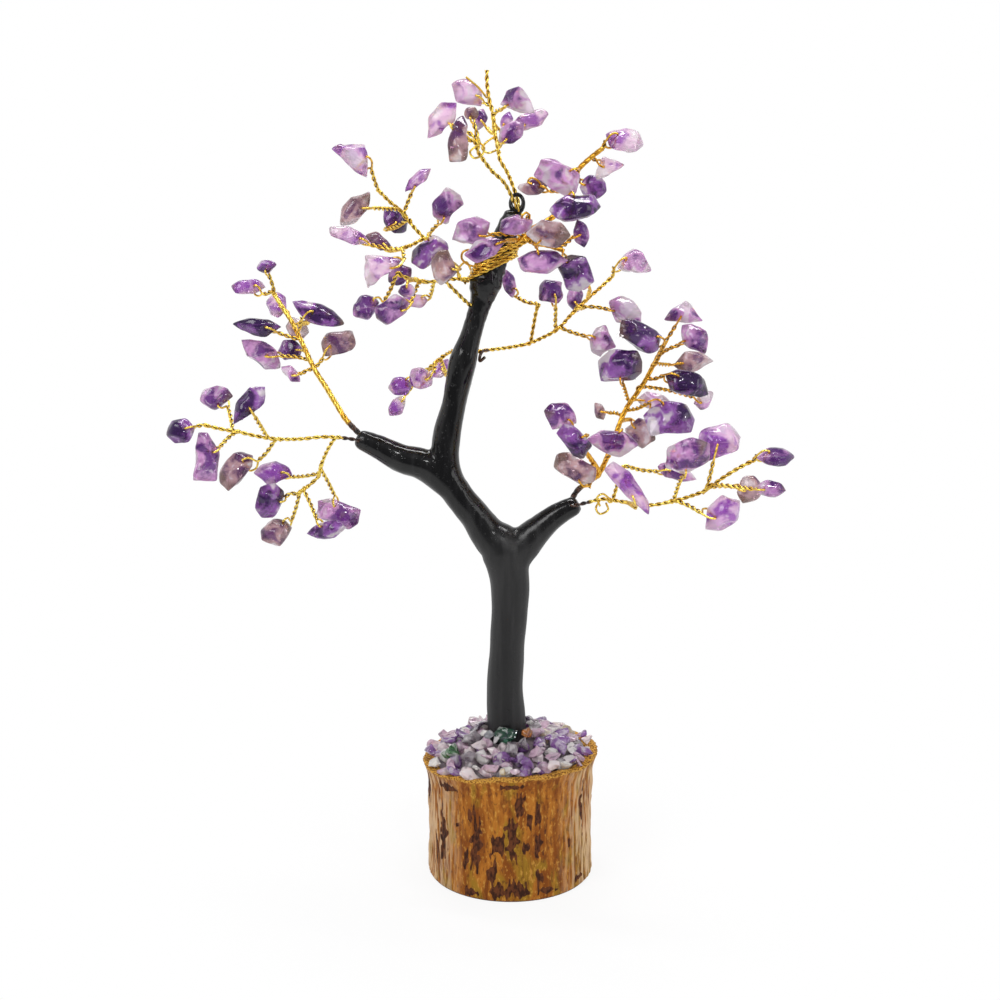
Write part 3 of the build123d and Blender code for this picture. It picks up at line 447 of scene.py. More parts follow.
# Colours of the stones on the log, and the odd ones: column, row, size, lift share and colour
LILAC = (0.82, 0.58, 0.72)
VIOLET = (0.34, 0.15, 0.46)
PALE_LILAC = (0.99, 0.86, 0.88)
CLEAR = (1.0, 0.97, 0.93)
DUSK = (0.36, 0.31, 0.34)
SLATE = (0.17, 0.13, 0.19)
STRAW = (0.78, 0.66, 0.46)
LEAF_GREEN = (0.06, 0.22, 0.07)
DARK_GREEN = (0.015, 0.085, 0.045)
ORANGE = (0.55, 0.20, 0.04)
TOPPING_COLOURS = (LILAC, LILAC, VIOLET, VIOLET, PALE_LILAC, PALE_LILAC, CLEAR)
FOOT_COLOURS = (DUSK, DUSK, SLATE, CLEAR, LILAC)
FOOT_REACH = 10.5 * MM
TOPPING_TRIES_AND_SIZES = ((900, 4.8 * MM, 6.6 * MM), (3600, 2.8 * MM, 4.4 * MM))
STONE_ROOM = 1.6 * MM
THIN_SHARE = 0.45
ODD_THIN_SHARE = 0.75
GRAVEL_DEPTH = 2.0 * MM
RIM_FRONT_RISE = 1.3 * MM
RIM_STONE_LIFT = 0.9 * MM
RIM_SPILL = 0.9 * MM
ODD_STONES_PX = [
    (506, 735, 27, 0.28, DARK_GREEN),
    (451, 757, 26, 0.2, LEAF_GREEN),
    (527, 729, 15, 0.3, ORANGE),
    (566, 734, 22, 0.16, STRAW),
    (463, 730, 12, 0.16, STRAW),
    (494, 742, 13, 0.2, (0.90, 0.88, 0.88)),
    (543, 719, 14, 0.16, VIOLET),
    (587, 742, 15, 0.16, PALE_LILAC),
    (488, 731, 15, 0.16, (0.45, 0.45, 0.48)),
    (478, 727, 17, 0.16, CLEAR),
    (503, 775, 10, 0.16, (0.66, 0.52, 0.20)),
    (434, 746, 21, 0.16, LILAC),
    (428, 760, 22, 0.16, VIOLET),
    (469, 761, 20, 0.16, DUSK),
    (512, 752, 22, 0.16, DUSK),
    (525, 748, 20, 0.16, DUSK),
    (489, 769, 20, 0.16, LILAC),
    (527, 768, 20, 0.16, VIOLET),
    (558, 750, 22, 0.16, VIOLET),
    (535, 756, 20, 0.16, LILAC),
    (470, 742, 18, 0.16, DUSK),
    (445, 738, 20, 0.16, LILAC),
    (554, 768, 18, 0.16, PALE_LILAC),
]


def sight(column, row):
    """How far a line of sight moves across and up for each step away from the viewer."""
    across = (column - VIEW_CENTRE_PX[0]) / VIEW_FOCAL_PX
    up = (VIEW_CENTRE_PX[1] - row) / VIEW_FOCAL_PX
    away = TILT_COS + up * TILT_SIN
    return across / away, (up * TILT_COS - TILT_SIN) / away


def spot(column, row, depth):
    """The place seen at a column and row, at a depth from the trunk's plane."""
    foot_across, foot_up = sight(*FOOT_PX)
    across, up = sight(column, row)
    away = depth * DEPTH_PITCH
    x = (VIEW_REACH + away) * across - VIEW_REACH * foot_across
    z = (VIEW_REACH + away) * up - VIEW_REACH * foot_up
    return Vector((x, away, z))


def spread(column, row, depth):
    """A place on a spray, with the spray opened out from front to back."""
    return spot(column, row, depth * SPRAY_SPREAD_SHARE)


def chip_size(pixels):
    """A length in picture units as a real length on a chip."""
    return CHIP_LENGTH * pixels / CHIP_LENGTH_PX


def sway(index, swing):
    """An angle within plus or minus swing that differs from chip to chip."""
    return swing * math.sin(math.radians(GOLDEN_TURN * index))


def upright_to(direction):
    """Two directions square to the given one and to each other."""
    guide = Vector((0, 0, 1)) if abs(direction.z) < abs(direction.y) else Vector((0, 1, 0))
    side = direction.cross(guide).normalized()
    return side, side.cross(direction).normalized()


def along(points, at):
    """The place and direction at a place counted in points along a run of points."""
    index = min(int(at), len(points) - 2)
    start, end = points[index], points[index + 1]
    return start + (end - start) * (at - index), (end - start).normalized()


def seat(points, radius, at, target, half_width):
    """Where a wire of the given half width that goes to target starts, clear of the stem it leaves."""
    place, run = along(points, at)
    aim = (target - place).normalized()
    lean = aim.dot(run)
    if at >= len(points) - 1 and lean > math.cos(math.radians(TIP_LEAN)):
        return place + aim * ((SEAT_GAP + half_width * math.sqrt(1 - lean**2)) / lean)
    across = math.sqrt(1 - lean**2)
    return place + aim * ((radius + SEAT_GAP + half_width * abs(lean)) / across)


def stem_paths(spray):
    """The line of every stem of a spray, the side stems starting clear of the stem they leave."""
    paths = []
    for stem in spray.stems:
        points = [spread(*p) for p in stem.points]
        if stem.parent is None:
            points[0] = spot(*stem.points[0])
        else:
            start = seat(paths[stem.parent], spray.stem_radius, stem.at, points[0], spray.stem_radius)
            points.insert(0, start)
        paths.append(points)
    return paths


def chip_axes(chip, index):
    """The length, width and thickness directions of a chip: turned in the picture, then leant a little."""
    turn = math.radians(chip.turn)
    length = VIEW_RIGHT * math.cos(turn) + VIEW_UP * math.sin(turn)
    width = VIEW_UP * math.cos(turn) - VIEW_RIGHT * math.sin(turn)
    thick = VIEW_TOWARD
    roll = math.radians(sway(index, CHIP_ROLL))
    width, thick = (
        width * math.cos(roll) + thick * math.sin(roll),
        thick * math.cos(roll) - width * math.sin(roll),
    )
    pitch = math.radians(sway(index + len(TONES), CHIP_PITCH))
    length, thick = (
        length * math.cos(pitch) - thick * math.sin(pitch),
        thick * math.cos(pitch) + length * math.sin(pitch),
    )
    return length, width, thick


def chip_rings(centre, axes, outline, half_length, half_width, half_thick, index):
    """The three rings of points that a tumbled chip's flat faces run between."""
    length, width, thick = axes
    middle = [(x * half_length, y * half_width) for x, y in outline]
    rings = []
    for side in (-1, 0, 1):
        share = CHIP_FACET_SHARE if side else 1
        shift_turn = math.radians(GOLDEN_TURN * (index + side))
        shift = CHIP_SHIFT_SHARE * half_width * abs(side)
        dx = shift * math.cos(shift_turn)
        dy = shift * math.sin(shift_turn)
        ring = [
            centre + length * (x * share + dx) + width * (y * share + dy) + thick * (side * half_thick)
            for x, y in middle
        ]
        rings.append(ring)
    return rings


def reach_to_edge(outline, half_length, half_width, direction):
    """How far a chip's edge is from its centre in a direction given along its length and width."""
    dx, dy = direction
    reach = 0
    points = [(x * half_length, y * half_width) for x, y in outline]
    for (ax, ay), (bx, by) in zip(points, points[1:] + points[:1]):
        ex, ey = bx - ax, by - ay
        cross = dx * ey - dy * ex
        if cross:
            distance = (ax * ey - ay * ex) / cross
            share = (ax * dy - ay * dx) / cross
            if distance > 0 and 0 <= share <= 1:
                reach = distance
    return reach


class Threaded(NamedTuple):
    """A chip in place: its middle, directions, half sizes, rings of points, hole and way to its stem."""

    chip: Chip
    index: int
    centre: Vector
    axes: tuple
    halves: tuple
    rings: list
    hole: Vector
    out: Vector
    neck: Vector
    root: Vector
    run: Vector


def thread(paths, chip, index):
    """Sets one chip in place and drills it towards the stem that carries it."""
    outline = OUTLINE_SHARES[chip.form]
    half_length = chip_size(chip.length) / 2
    half_width = chip_size(chip.width) / 2
    half_thick = half_width * CHIP_THICKNESS_SHARE
    centre = spread(chip.column, chip.row, chip.depth)
    axes = chip_axes(chip, index)
    length, width, _ = axes
    rings = chip_rings(centre, axes, outline, half_length, half_width, half_thick, index)
    root, run = along(paths[chip.stem], chip.at)
    aim = root - centre
    flat = Vector((aim.dot(length), aim.dot(width))).normalized()
    edge = reach_to_edge(outline, half_length, half_width, flat)
    wall = max(edge * CHIP_HOLE_SHARE, CHIP_HOLE_RADIUS + CHIP_HOLE_WALL)
    out = length * flat.x + width * flat.y
    hole = centre + out * (edge - wall)
    neck = hole + out * (wall + LOOP_EDGE_ROOM)
    halves = (half_length, half_width, half_thick)
    return Threaded(chip, index, centre, axes, halves, rings, hole, out, neck, root, run)


# Wires
WIRE_FACETS = 7
WIRE_STEP = 0.28 * MM
WIRE_MARKS = "wire_marks"


def smooth_line(points, step):
    """A smooth line through the points, cut into short even steps."""
    ends = [points[0] * 2 - points[1]] + list(points) + [points[-1] * 2 - points[-2]]
    line = []
    for before, start, end, after in zip(ends, ends[1:], ends[2:], ends[3:]):
        count = max(2, math.ceil((end - start).length / step))
        lead = (end - before) * 0.5
        follow = (after - start) * 0.5
        for i in range(count):
            t = i / count
            bend = start * (2 * t**3 - 3 * t**2 + 1) + end * (3 * t**2 - 2 * t**3)
            line.append(bend + lead * (t**3 - 2 * t**2 + t) + follow * (t**3 - t**2))
    line.append(points[-1].copy())
    return line


def frames_along(line):
    """The run of a line at each point, with two directions square to it that turn as little as they can."""
    frames = []
    side = None
    for i in range(len(line)):
        run = (line[min(i + 1, len(line) - 1)] - line[max(i - 1, 0)]).normalized()
        if side is None:
            side, _ = upright_to(run)
        side = (side - run * side.dot(run)).normalized()
        frames.append((run, side, run.cross(side)))
    return frames


def lengths_along(line):
    """How far each point of a line is from its start."""
    lengths = [0.0]
    for a, b in zip(line, line[1:]):
        lengths.append(lengths[-1] + (b - a).length)
    return lengths


def twisted(line, count, lay_radius, pitch, end_side=None, taper=1.0):
    """The lines of wires twisted unevenly round a line; the first wire ends on the given side of it."""
    frames = frames_along(line)
    lengths = lengths_along(line)
    end_turn = 0.0
    if end_side:
        _, side, up = frames[-1]
        end_turn = math.atan2(end_side.dot(up), end_side.dot(side))
    strands = []
    for k in range(count):
        strand = []
        for place, (_, side, up), length in zip(line, frames, lengths):
            share = length / lengths[-1]
            slack = TWIST_SLACK * noise.noise(place / (5 * MM)) * (1 - share)
            turn = end_turn + 2 * math.pi * ((length - lengths[-1]) / pitch + k / count + slack)
            lay = lay_radius * (1 - share + taper * share)
            strand.append(place + (side * math.cos(turn) + up * math.sin(turn)) * lay)
        strands.append(strand)
    return strands


class WireMesh:
    """Round wires gathered into one mesh; each point knows its paint, its painted groove shade and warmth of gold.
    """

    def __init__(self, warmth):
        self.warmth = warmth
        self.points = []
        self.faces = []
        self.marks = []

    def add(self, line, radius, paint=None, heart=None):
        """Adds one wire along a line, with its paint at each point and the heart of its bundle, towards which the
        wire is painted darker as shade in the twist's grooves.
        """
        first = len(self.points)
        for i, (place, (_, side, up)) in enumerate(zip(line, frames_along(line))):
            for k in range(WIRE_FACETS):
                turn = 2 * math.pi * k / WIRE_FACETS
                away = side * math.cos(turn) + up * math.sin(turn)
                self.points.append(place + away * radius)
                # painted shade: the side of each wire that faces the heart of its bundle, where the twist's grooves
                # lie in shade
                groove_shade = 0.5 + 0.5 * away.dot((heart[i] - place).normalized()) if heart and heart[i] else 0.0
                self.marks.append((paint[i] if paint else 0.0, groove_shade, self.warmth, 1.0))
        rings = len(line)
        for i in range(rings - 1):
            for k in range(WIRE_FACETS):
                a = first + i * WIRE_FACETS + k
                b = first + i * WIRE_FACETS + (k + 1) % WIRE_FACETS
                self.faces.append((a, b, b + WIRE_FACETS, a + WIRE_FACETS))
        last = first + (rings - 1) * WIRE_FACETS
        self.faces.append(tuple(reversed(range(first, first + WIRE_FACETS))))
        self.faces.append(tuple(range(last, last + WIRE_FACETS)))

    def piece(self, name, material):
        """The gathered wires as one piece."""
        mesh = bpy.data.meshes.new(name)
        mesh.from_pydata([tuple(p) for p in self.points], [], self.faces)
        marks = mesh.color_attributes.new(WIRE_MARKS, "FLOAT_COLOR", "POINT")
        for item, mark in zip(marks.data, self.marks):
            item.color = mark
        mesh.shade_smooth()
        return finished_piece(name, mesh, material)


def root_paint(line):
    """Black paint on the first stretch of a stem, ending raggedly."""
    paint = []
    for place, length in zip(line, lengths_along(line)):
        ragged = noise.noise(place / (0.8 * MM)) * 0.9 * MM
        paint.append(min(1.0, max(0.0, (PAINTED_ROOT + ROOT_REACH + ragged - length) / (0.7 * MM))))
    return paint


def spray_stem(spray, paths, gold):
    """The twisted stems of one spray, with its loose ends, ties and hooks."""
    wires = WireMesh(WIRE_WARMTH[spray.name])
    thick = spray.stem_radius > THIN_STEM_RADIUS
    count = BUNDLE_STRANDS if thick else 2
    strand_radius = BUNDLE_WIRE_RADIUS if thick else WIRE_RADIUS
    pitch = BUNDLE_PITCH if thick else TWIST_PITCH
    lay_radius = spray.stem_radius - strand_radius * (0.85 if thick else 0.95)
    for stem, path in zip(spray.stems, paths):
        points = list(path)
        if stem.parent is None:
            straight_in = points[0] - (points[1] - points[0]).normalized() * ROOT_REACH
            points.insert(0, spot(*ROOT_ENDS_PX[spray.name]) if spray.name in ROOT_ENDS_PX else straight_in)
        else:
            root, run = along(paths[stem.parent], stem.at)
            points[0] = root
            points.insert(0, root - run * spray.stem_radius * 3)
        line = smooth_line(points, WIRE_STEP)
        painted = stem.parent is None and spray.name in PAINTED_ROOTS
        paint = root_paint(line) if painted else None
        for strand in twisted(line, count, lay_radius, pitch, taper=BUNDLE_TAPER if thick else 1.0):
            wires.add(strand, strand_radius, paint, line)
    for ends in STRAY_ENDS_PX.get(spray.name, []):
        wires.add(smooth_line([spread(*p) for p in ends], WIRE_STEP), WIRE_RADIUS)
    if spray.name in TIES_PX:
        line = smooth_line([spread(*p) for p in TIES_PX[spray.name]], WIRE_STEP)
        for strand in twisted(line, 2, WIRE_RADIUS, TWIST_PITCH):
            wires.add(strand, WIRE_RADIUS, None, line)
    if spray.name in HOOKS_PX:
        line = smooth_line([spread(*p) for p in HOOKS_PX[spray.name]], WIRE_STEP)
        wires.add(line, WIRE_RADIUS * 1.5, [1.0] * len(line))
    return wires.piece(f"{spray.name}_twisted_stem", gold)


def spray_twigs(spray, chips, gold):
    """The doubled wires of one spray: each is twisted from its stem, then opens and goes through its chip."""
    wires = WireMesh(WIRE_WARMTH[spray.name])
    half_pair = WIRE_RADIUS + PAIR_GAP / 2
    for threaded in chips:
        thick = threaded.axes[2]
        neck = threaded.neck
        back = threaded.root - threaded.run * spray.stem_radius * 2.5
        bow = Vector((0, 0, 1)) * sway(threaded.index, TWIG_BOW)
        middle = (threaded.root + neck) / 2 + bow
        line = smooth_line([back, threaded.root, middle, neck], WIRE_STEP)
        near, far = twisted(line, 2, half_pair, TWIST_PITCH, thick)
        face = thick * (threaded.halves[2] * 0.95 + WIRE_RADIUS * 1.3)
        open_out = threaded.out * (neck - threaded.hole).dot(threaded.out)
        loop = [
            near[-1],
            threaded.hole + open_out * 0.62 + face * 0.9,
            threaded.hole + threaded.out * WIRE_RADIUS + face,
            threaded.hole + thick * (threaded.halves[2] * 0.55),
            threaded.hole - thick * (threaded.halves[2] * 0.55),
            threaded.hole + threaded.out * WIRE_RADIUS - face,
            threaded.hole + open_out * 0.62 - face * 0.9,
            far[-1],
        ]
        opened = smooth_line(loop, WIRE_STEP)[1:-1]
        whole = near + opened + far[::-1]
        heart = line + [None] * len(opened) + line[::-1]
        wires.add(whole, WIRE_RADIUS, None, heart)
    return wires.piece(f"{spray.name}_threaded_twigs", gold)


def twisted_pairs(name, lines, gold):
    """A piece of wires twisted in pairs along some lines."""
    wires = WireMesh(BINDING_WARMTH)
    for line in lines:
        for strand in twisted(line, 2, WIRE_RADIUS, TWIST_PITCH):
            wires.add(strand, WIRE_RADIUS, None, line)
    return wires.piece(name, gold)


def binding_lays(gold):
    """The lays of wire that run across the front of the trunk to the spray they hold."""
    lines = [smooth_line([spot(*p) for p in lay], WIRE_STEP) for lay in BINDING_LAYS_PX]
    return twisted_pairs("binding_lays", lines, gold)


def binding_bundle(gold):
    """The wire that binds a spray to the upper trunk in slanted turns."""
    low, high = (spot(*p) for p in BINDING_PX)
    axis = (high - low).normalized()
    side, up = upright_to(axis)
    right = (VIEW_RIGHT - axis * VIEW_RIGHT.dot(axis)).normalized()
    steps = BINDING_TURNS * 28
    lines = []
    for k in range(BINDING_STRANDS):
        line = []
        slant = BINDING_SLANT + sway(k + 1, 0.3)
        for i in range(steps + 1):
            share = i / steps
            wander = noise.noise(Vector((k * 3.1, share * 9, 1.7)))
            girth = BINDING_SHARES[0] * (1 - share) + BINDING_SHARES[1] * share
            radius = TRUNK_RADIUS * girth + WIRE_RADIUS * (2.2 + (k % 2) * 1.6 + wander)
            turn = 2 * math.pi * (BINDING_TURNS * share + k * 0.13)
            around = (side * math.cos(turn) + up * math.sin(turn)) * radius
            climb = BINDING_PITCH * BINDING_TURNS * (0.15 + 0.7 * share) + wander * 0.6 * MM
            line.append(low + axis * (climb + slant * around.dot(right)) + around)
        lines.append(line)
    return twisted_pairs("binding_bundle", lines, gold)


# Chips
CHIP_EDGE = 0.5 * MM
CHIP_NUDGE_SHARE = 0.07
CHIP_WEAR = 9
CHIP_SCOOPS = 4
CHIP_MARKS = "chip_marks"


def spans(bm, axes):
    """How far a stone reaches along each of its axes."""
    reaches = [[v.co.dot(axis) for v in bm.verts] for axis in axes]
    return [(min(reach), max(reach)) for reach in reaches]


def worn(bm, axes, passes):
    """Wears a stone's corners round, and stretches it back to its size along each of its axes."""
    before = spans(bm, axes)
    for _ in range(passes):
        bmesh.ops.smooth_vert(bm, verts=bm.verts, factor=0.5, use_axis_x=True, use_axis_y=True, use_axis_z=True)
    for axis, (low, high), (worn_low, worn_high) in zip(axes, before, spans(bm, axes)):
        grow = (high - low) / (worn_high - worn_low)
        for v in bm.verts:
            along_axis = v.co.dot(axis)
            v.co = v.co + axis * (low + (along_axis - worn_low) * grow - along_axis)


def scooped(bm, centre, reach, draw, scoops):
    """Takes shallow round scoops out of a stone, as where flakes broke off before it was tumbled."""
    for _ in range(scoops):
        away = Vector([draw.uniform(-1, 1) for _ in range(3)]).normalized()
        surface = max((v.co - centre).dot(away) for v in bm.verts)
        bite = reach * draw.uniform(0.45, 1.2)
        middle = centre + away * (surface + bite * draw.uniform(0.72, 0.9))
        for v in bm.verts:
            gap = v.co - middle
            if gap.length < bite:
                v.co = v.co + gap.normalized() * (bite - gap.length) * 0.9


def tumbled(points, axes, seed, edge, wear):
    """A tumbled stone: the hull of some points, cut fine, worn round, scooped and gently uneven."""
    draw = random.Random(seed)
    middle = sum(points, Vector()) / len(points)
    spread_out = max((point - middle).length for point in points)
    bm = bmesh.new()
    for point in points:
        nudge = Vector([draw.uniform(-1, 1) for _ in range(3)]) * spread_out * CHIP_NUDGE_SHARE
        bm.verts.new(point + nudge)
    hull = bmesh.ops.convex_hull(bm, input=bm.verts)
    spare = [g for g in hull["geom_interior"] + hull["geom_unused"] if isinstance(g, bmesh.types.BMVert)]
    bmesh.ops.delete(bm, geom=list(set(spare)), context="VERTS")
    for _ in range(6):
        long_edges = [e for e in bm.edges if e.calc_length() > edge]
        if not long_edges:
            break
        bmesh.ops.subdivide_edges(bm, edges=long_edges, cuts=1)
        bmesh.ops.triangulate(bm, faces=bm.faces)
    worn(bm, axes, wear)
    centre = sum((v.co for v in bm.verts), Vector()) / len(bm.verts)
    reach = max((v.co - centre).length for v in bm.verts)
    scooped(bm, centre, reach, draw, CHIP_SCOOPS)
    bmesh.ops.smooth_vert(bm, verts=bm.verts, factor=0.5, use_axis_x=True, use_axis_y=True, use_axis_z=True)
    bm.normal_update()
    shift = Vector([draw.uniform(-50, 50) for _ in range(3)])
    for v in bm.verts:
        lump = noise.noise((v.co - centre) / (reach * 0.6) + shift) * reach * 0.06
        ripple = noise.noise((v.co - centre) / (reach * 0.2) + shift) * reach * 0.008
        v.co = v.co + v.normal * (lump + ripple)
    return bm


class StoneMesh:
    """Stones gathered into one mesh, each point with its edge, zone and lot marks or its own colour."""

    def __init__(self):
        self.points = []
        self.faces = []
        self.marks = []

    def add(self, bm, mark_of):
        """Adds one stone, marked point by point."""
        first = len(self.points)
        bm.verts.index_update()
        for v in bm.verts:
            self.points.append(tuple(v.co))
            self.marks.append(mark_of(v.co))
        for face in bm.faces:
            self.faces.append(tuple(first + v.index for v in face.verts))
        bm.free()

    def piece(self, name, material):
        """The gathered stones as one piece."""
        mesh = bpy.data.meshes.new(name)
        mesh.from_pydata(self.points, [], self.faces)
        marks = mesh.color_attributes.new(CHIP_MARKS, "FLOAT_COLOR", "POINT")
        for item, mark in zip(marks.data, self.marks):
            item.color = mark
        mesh.shade_smooth()
        mesh.set_sharp_from_angle(angle=math.radians(38))
        return finished_piece(name, mesh, material)


def chip_marks(threaded):
    """How near the thin edge a place on a chip is, where it lies along the chip, and the chip's own lot."""
    length, width, _ = threaded.axes
    half_length, half_width, _ = threaded.halves
    lot = (threaded.index * 0.618034) % 1.0 + threaded.chip.lightness * 2
    flip = -1 if threaded.index % 2 else 1

    def mark(place):
        rel = place - threaded.centre
        across = rel.dot(length) / half_length
        up = rel.dot(width) / half_width
        # painted light: the edge mark makes a chip paler towards its thin outline, as light shining through the thin
        # edges
        edge = min(1.0, max(0.0, (math.hypot(across, up) - 0.35) / 0.6))
        return (edge, 0.5 + 0.5 * flip * across, lot, 1.0)

    return mark


def gem_chip(stones, threaded):
    """Adds one drilled chip, dimpled where its wire goes in."""
    points = [p for ring in threaded.rings for p in ring]
    bm = tumbled(points, threaded.axes, threaded.index, CHIP_EDGE, CHIP_WEAR)
    thick = threaded.axes[2]
    for v in bm.verts:
        rel = v.co - threaded.hole
        off_axis = (rel - thick * rel.dot(thick)).length
        near = max(0.0, 1 - off_axis / (CHIP_HOLE_RADIUS * 1.7))
        v.co = v.co - thick * math.copysign(near * 0.4 * MM, rel.dot(thick))
    stones.add(bm, chip_marks(threaded))


# Trunk
LIMB_FACETS = 28
COAT_VOXEL = 0.5 * MM


def limb_rings(table, foot=None):
    """Places and radii along a limb, with a rounded tip."""
    places = [spot(*row[:3]) for row in table]
    radii = [TRUNK_RADIUS * row[3] for row in table]
    if foot:
        places.insert(0, foot)
        radii.insert(0, TRUNK_RADIUS * TRUNK_FOOT_SHARE)
    return places, radii


def add_limb(bm, table, foot=None):
    """Adds one limb of the trunk as a closed round tube with a domed tip."""
    places, radii = limb_rings(table, foot)
    line = smooth_line(places, 1.2 * MM)
    lengths = lengths_along(line)
    marks = lengths_along(places)
    stretch = lengths[-1] / marks[-1]
    rings = []
    for place, frame_here, length in zip(line, frames_along(line), lengths):
        i = 0
        while i < len(marks) - 2 and marks[i + 1] * stretch < length:
            i += 1
        share = min(1.0, (length - marks[i] * stretch) / ((marks[i + 1] - marks[i]) * stretch))
        radius = radii[i] * (1 - share) + radii[i + 1] * share
        rings.append((place, frame_here, radius))
    place, tip_frame, radius = rings[-1]
    for share in (0.35, 0.65, 0.85):
        out = tip_frame[0] * radius * share * 0.7
        rings.append((place + out, tip_frame, radius * math.sqrt(1 - share**2)))
    loops = []
    for place, (_, side, up), radius in rings:
        turns = [2 * math.pi * k / LIMB_FACETS for k in range(LIMB_FACETS)]
        loops.append([bm.verts.new(place + (side * math.cos(t) + up * math.sin(t)) * radius) for t in turns])
    for near, far in zip(loops, loops[1:]):
        for k in range(LIMB_FACETS):
            bm.faces.new((near[k - 1], near[k], far[k], far[k - 1]))
    bm.faces.new(list(reversed(loops[0])))
    bm.faces.new(loops[-1])


def coat_relief(place):
    """How far the hand-brushed coat stands out at a place: soft lumps, brush drags and a ropey upper trunk."""
    lump = noise.noise(place / (9 * MM)) * 0.30 * MM
    drag = noise.noise(Vector((place.x / (1.6 * MM), place.y / (1.6 * MM), place.z / (14 * MM)))) * 0.07 * MM
    upper = min(1.0, max(0.0, (place.z - ROPEY_FROM) / (10 * MM)))
    twist = place.z / (7 * MM)
    ropey = noise.noise(Vector((place.x / (1.1 * MM) + twist, place.y / (1.1 * MM), place.z / (6 * MM))))
    wrap = noise.noise(Vector((place.x / (5 * MM), place.y / (5 * MM), place.z / (1.3 * MM) + place.x / (2 * MM))))
    return lump + drag + upper * (ropey * 0.26 + wrap * 0.22) * MM


def add_top_eye(mesh):
    """Adds the small eye of coated wire that ends the trunk."""
    bm = bmesh.new()
    bm.from_mesh(mesh)
    centre = spot(*TOP_EYE_PX)
    turns = [2 * math.pi * i / LIMB_FACETS for i in range(LIMB_FACETS)]
    loops = []
    for turn in turns:
        out = VIEW_RIGHT * math.cos(turn) + VIEW_UP * math.sin(turn) * 1.35
        heart = centre + out * TOP_EYE_RADIUS
        girth = TOP_EYE_WIRE * (1.25 - 0.3 * math.sin(turn))
        loops.append([bm.verts.new(heart + (out * math.cos(t) + VIEW_TOWARD * math.sin(t)) * girth) for t in turns])
    for near, far in zip(loops, loops[1:] + loops[:1]):
        for k in range(LIMB_FACETS):
            bm.faces.new((near[k - 1], near[k], far[k], far[k - 1]))
    bmesh.ops.recalc_face_normals(bm, faces=bm.faces)
    bm.to_mesh(mesh)
    bm.free()


def black_trunk(coat):
    """The black trunk and its two arms: one skin with soft crotches, brushed by hand."""
    bm = bmesh.new()
    foot = spot(*TRUNK_PX_AND_SHARES[0][:3])
    foot.z = LOG_HEIGHT
    add_limb(bm, TRUNK_PX_AND_SHARES[:-1], foot)
    add_limb(bm, LEFT_ARM_PX_AND_SHARES)
    add_limb(bm, RIGHT_ARM_PX_AND_SHARES)
    mesh = bpy.data.meshes.new("black_trunk_limbs")
    bm.to_mesh(mesh)
    bm.free()
    limbs = bpy.data.objects.new("black_trunk_limbs", mesh)
    bpy.context.scene.collection.objects.link(limbs)
    skin = limbs.modifiers.new("one_skin", "REMESH")
    skin.mode = "VOXEL"
    skin.voxel_size = COAT_VOXEL
    soften = limbs.modifiers.new("soft_crotches", "SMOOTH")
    soften.factor = 0.5
    soften.iterations = 14
    settled = limbs.evaluated_get(bpy.context.evaluated_depsgraph_get())
    mesh = bpy.data.meshes.new_from_object(settled)
    bpy.data.objects.remove(limbs)
    normals = [v.normal.copy() for v in mesh.vertices]
    for v, normal in zip(mesh.vertices, normals):
        v.co = v.co + normal * coat_relief(v.co)
    add_top_eye(mesh)
    mesh.shade_smooth()
    return finished_piece("black_trunk", mesh, coat)


# Log
BARK_AROUND = 440
BARK_UP = 116
BARK_MARKS = "bark_marks"


def rim_height(angle):
    """Height of the worn rim at an angle round the log: it slants, stands highest in front and wavers."""
    slant = BARK_RIM_SLANT / 2 * math.cos(angle)
    front = RIM_FRONT_RISE * max(0.0, -math.sin(angle)) ** 2
    waver = noise.noise(Vector((math.cos(angle) * 3, math.sin(angle) * 3, 4.2))) * 0.5 * MM
    return LOG_HEIGHT + BARK_RIM_RISE + slant + front + waver


def on_bark(column, row):
    """The angle and height on the bark's front that a column and row show."""
    outer = LOG_RADIUS + BARK_THICKNESS
    foot_across, foot_up = sight(*FOOT_PX)
    across, up = sight(column, row)
    eye = Vector((-VIEW_REACH * foot_across, -VIEW_REACH, -VIEW_REACH * foot_up))
    line = Vector((across, 1.0, up))
    a = line.x**2 + 1
    b = eye.x * line.x + eye.y
    c = eye.x**2 + eye.y**2 - outer**2
    reach = (-b - math.sqrt(max(0.0, b * b - a * c))) / a
    place = eye + line * reach
    return math.atan2(place.y, place.x), place.z


def bark_flakes():
    """Dark flakes: those read from the front, and as many again drawn round the back."""
    pixel = VIEW_REACH / VIEW_FOCAL_PX
    flakes = []
    for column, row, half_width, half_height in FLAKES_PX:
        angle, height = on_bark(column, row)
        flakes.append((angle, height, half_width * pixel, half_height * pixel))
    draw = random.Random(11)
    for _ in range(34):
        angle = draw.uniform(-0.25, math.pi + 0.25)
        height = draw.uniform(0.05, 0.95) * LOG_HEIGHT
        flakes.append((angle, height, draw.uniform(0.5, 1.4) * MM, draw.uniform(1.5, 5.0) * MM))
    return flakes


def flake_mask(angle, height, flakes, place):
    """1 inside a dark flake and 0 outside, torn along the fibres."""
    outer = LOG_RADIUS + BARK_THICKNESS
    fibre = noise.noise(Vector((place.x / (0.6 * MM), place.y / (0.6 * MM), place.z / (5 * MM))))
    tear = noise.noise(Vector((place.x / (0.9 * MM), place.y / (0.9 * MM), place.z / (1.5 * MM))))
    lean = noise.noise(Vector((place.x / (4 * MM), place.y / (4 * MM), place.z / (2.2 * MM)))) * 0.9
    best = 0.0
    for flake_angle, flake_height, half_width, half_height in flakes:
        around = (angle - flake_angle + math.pi) % (2 * math.pi) - math.pi
        u = around * outer / half_width + lean
        v = (height - flake_height) / half_height
        if abs(u) < 2.4 and abs(v) < 2:
            best = max(best, 1.28 - math.hypot(u, v) + fibre * (0.5 + 0.5 * abs(v)) + tear * 0.5)
    return min(1.0, max(0.0, best * 1.8))


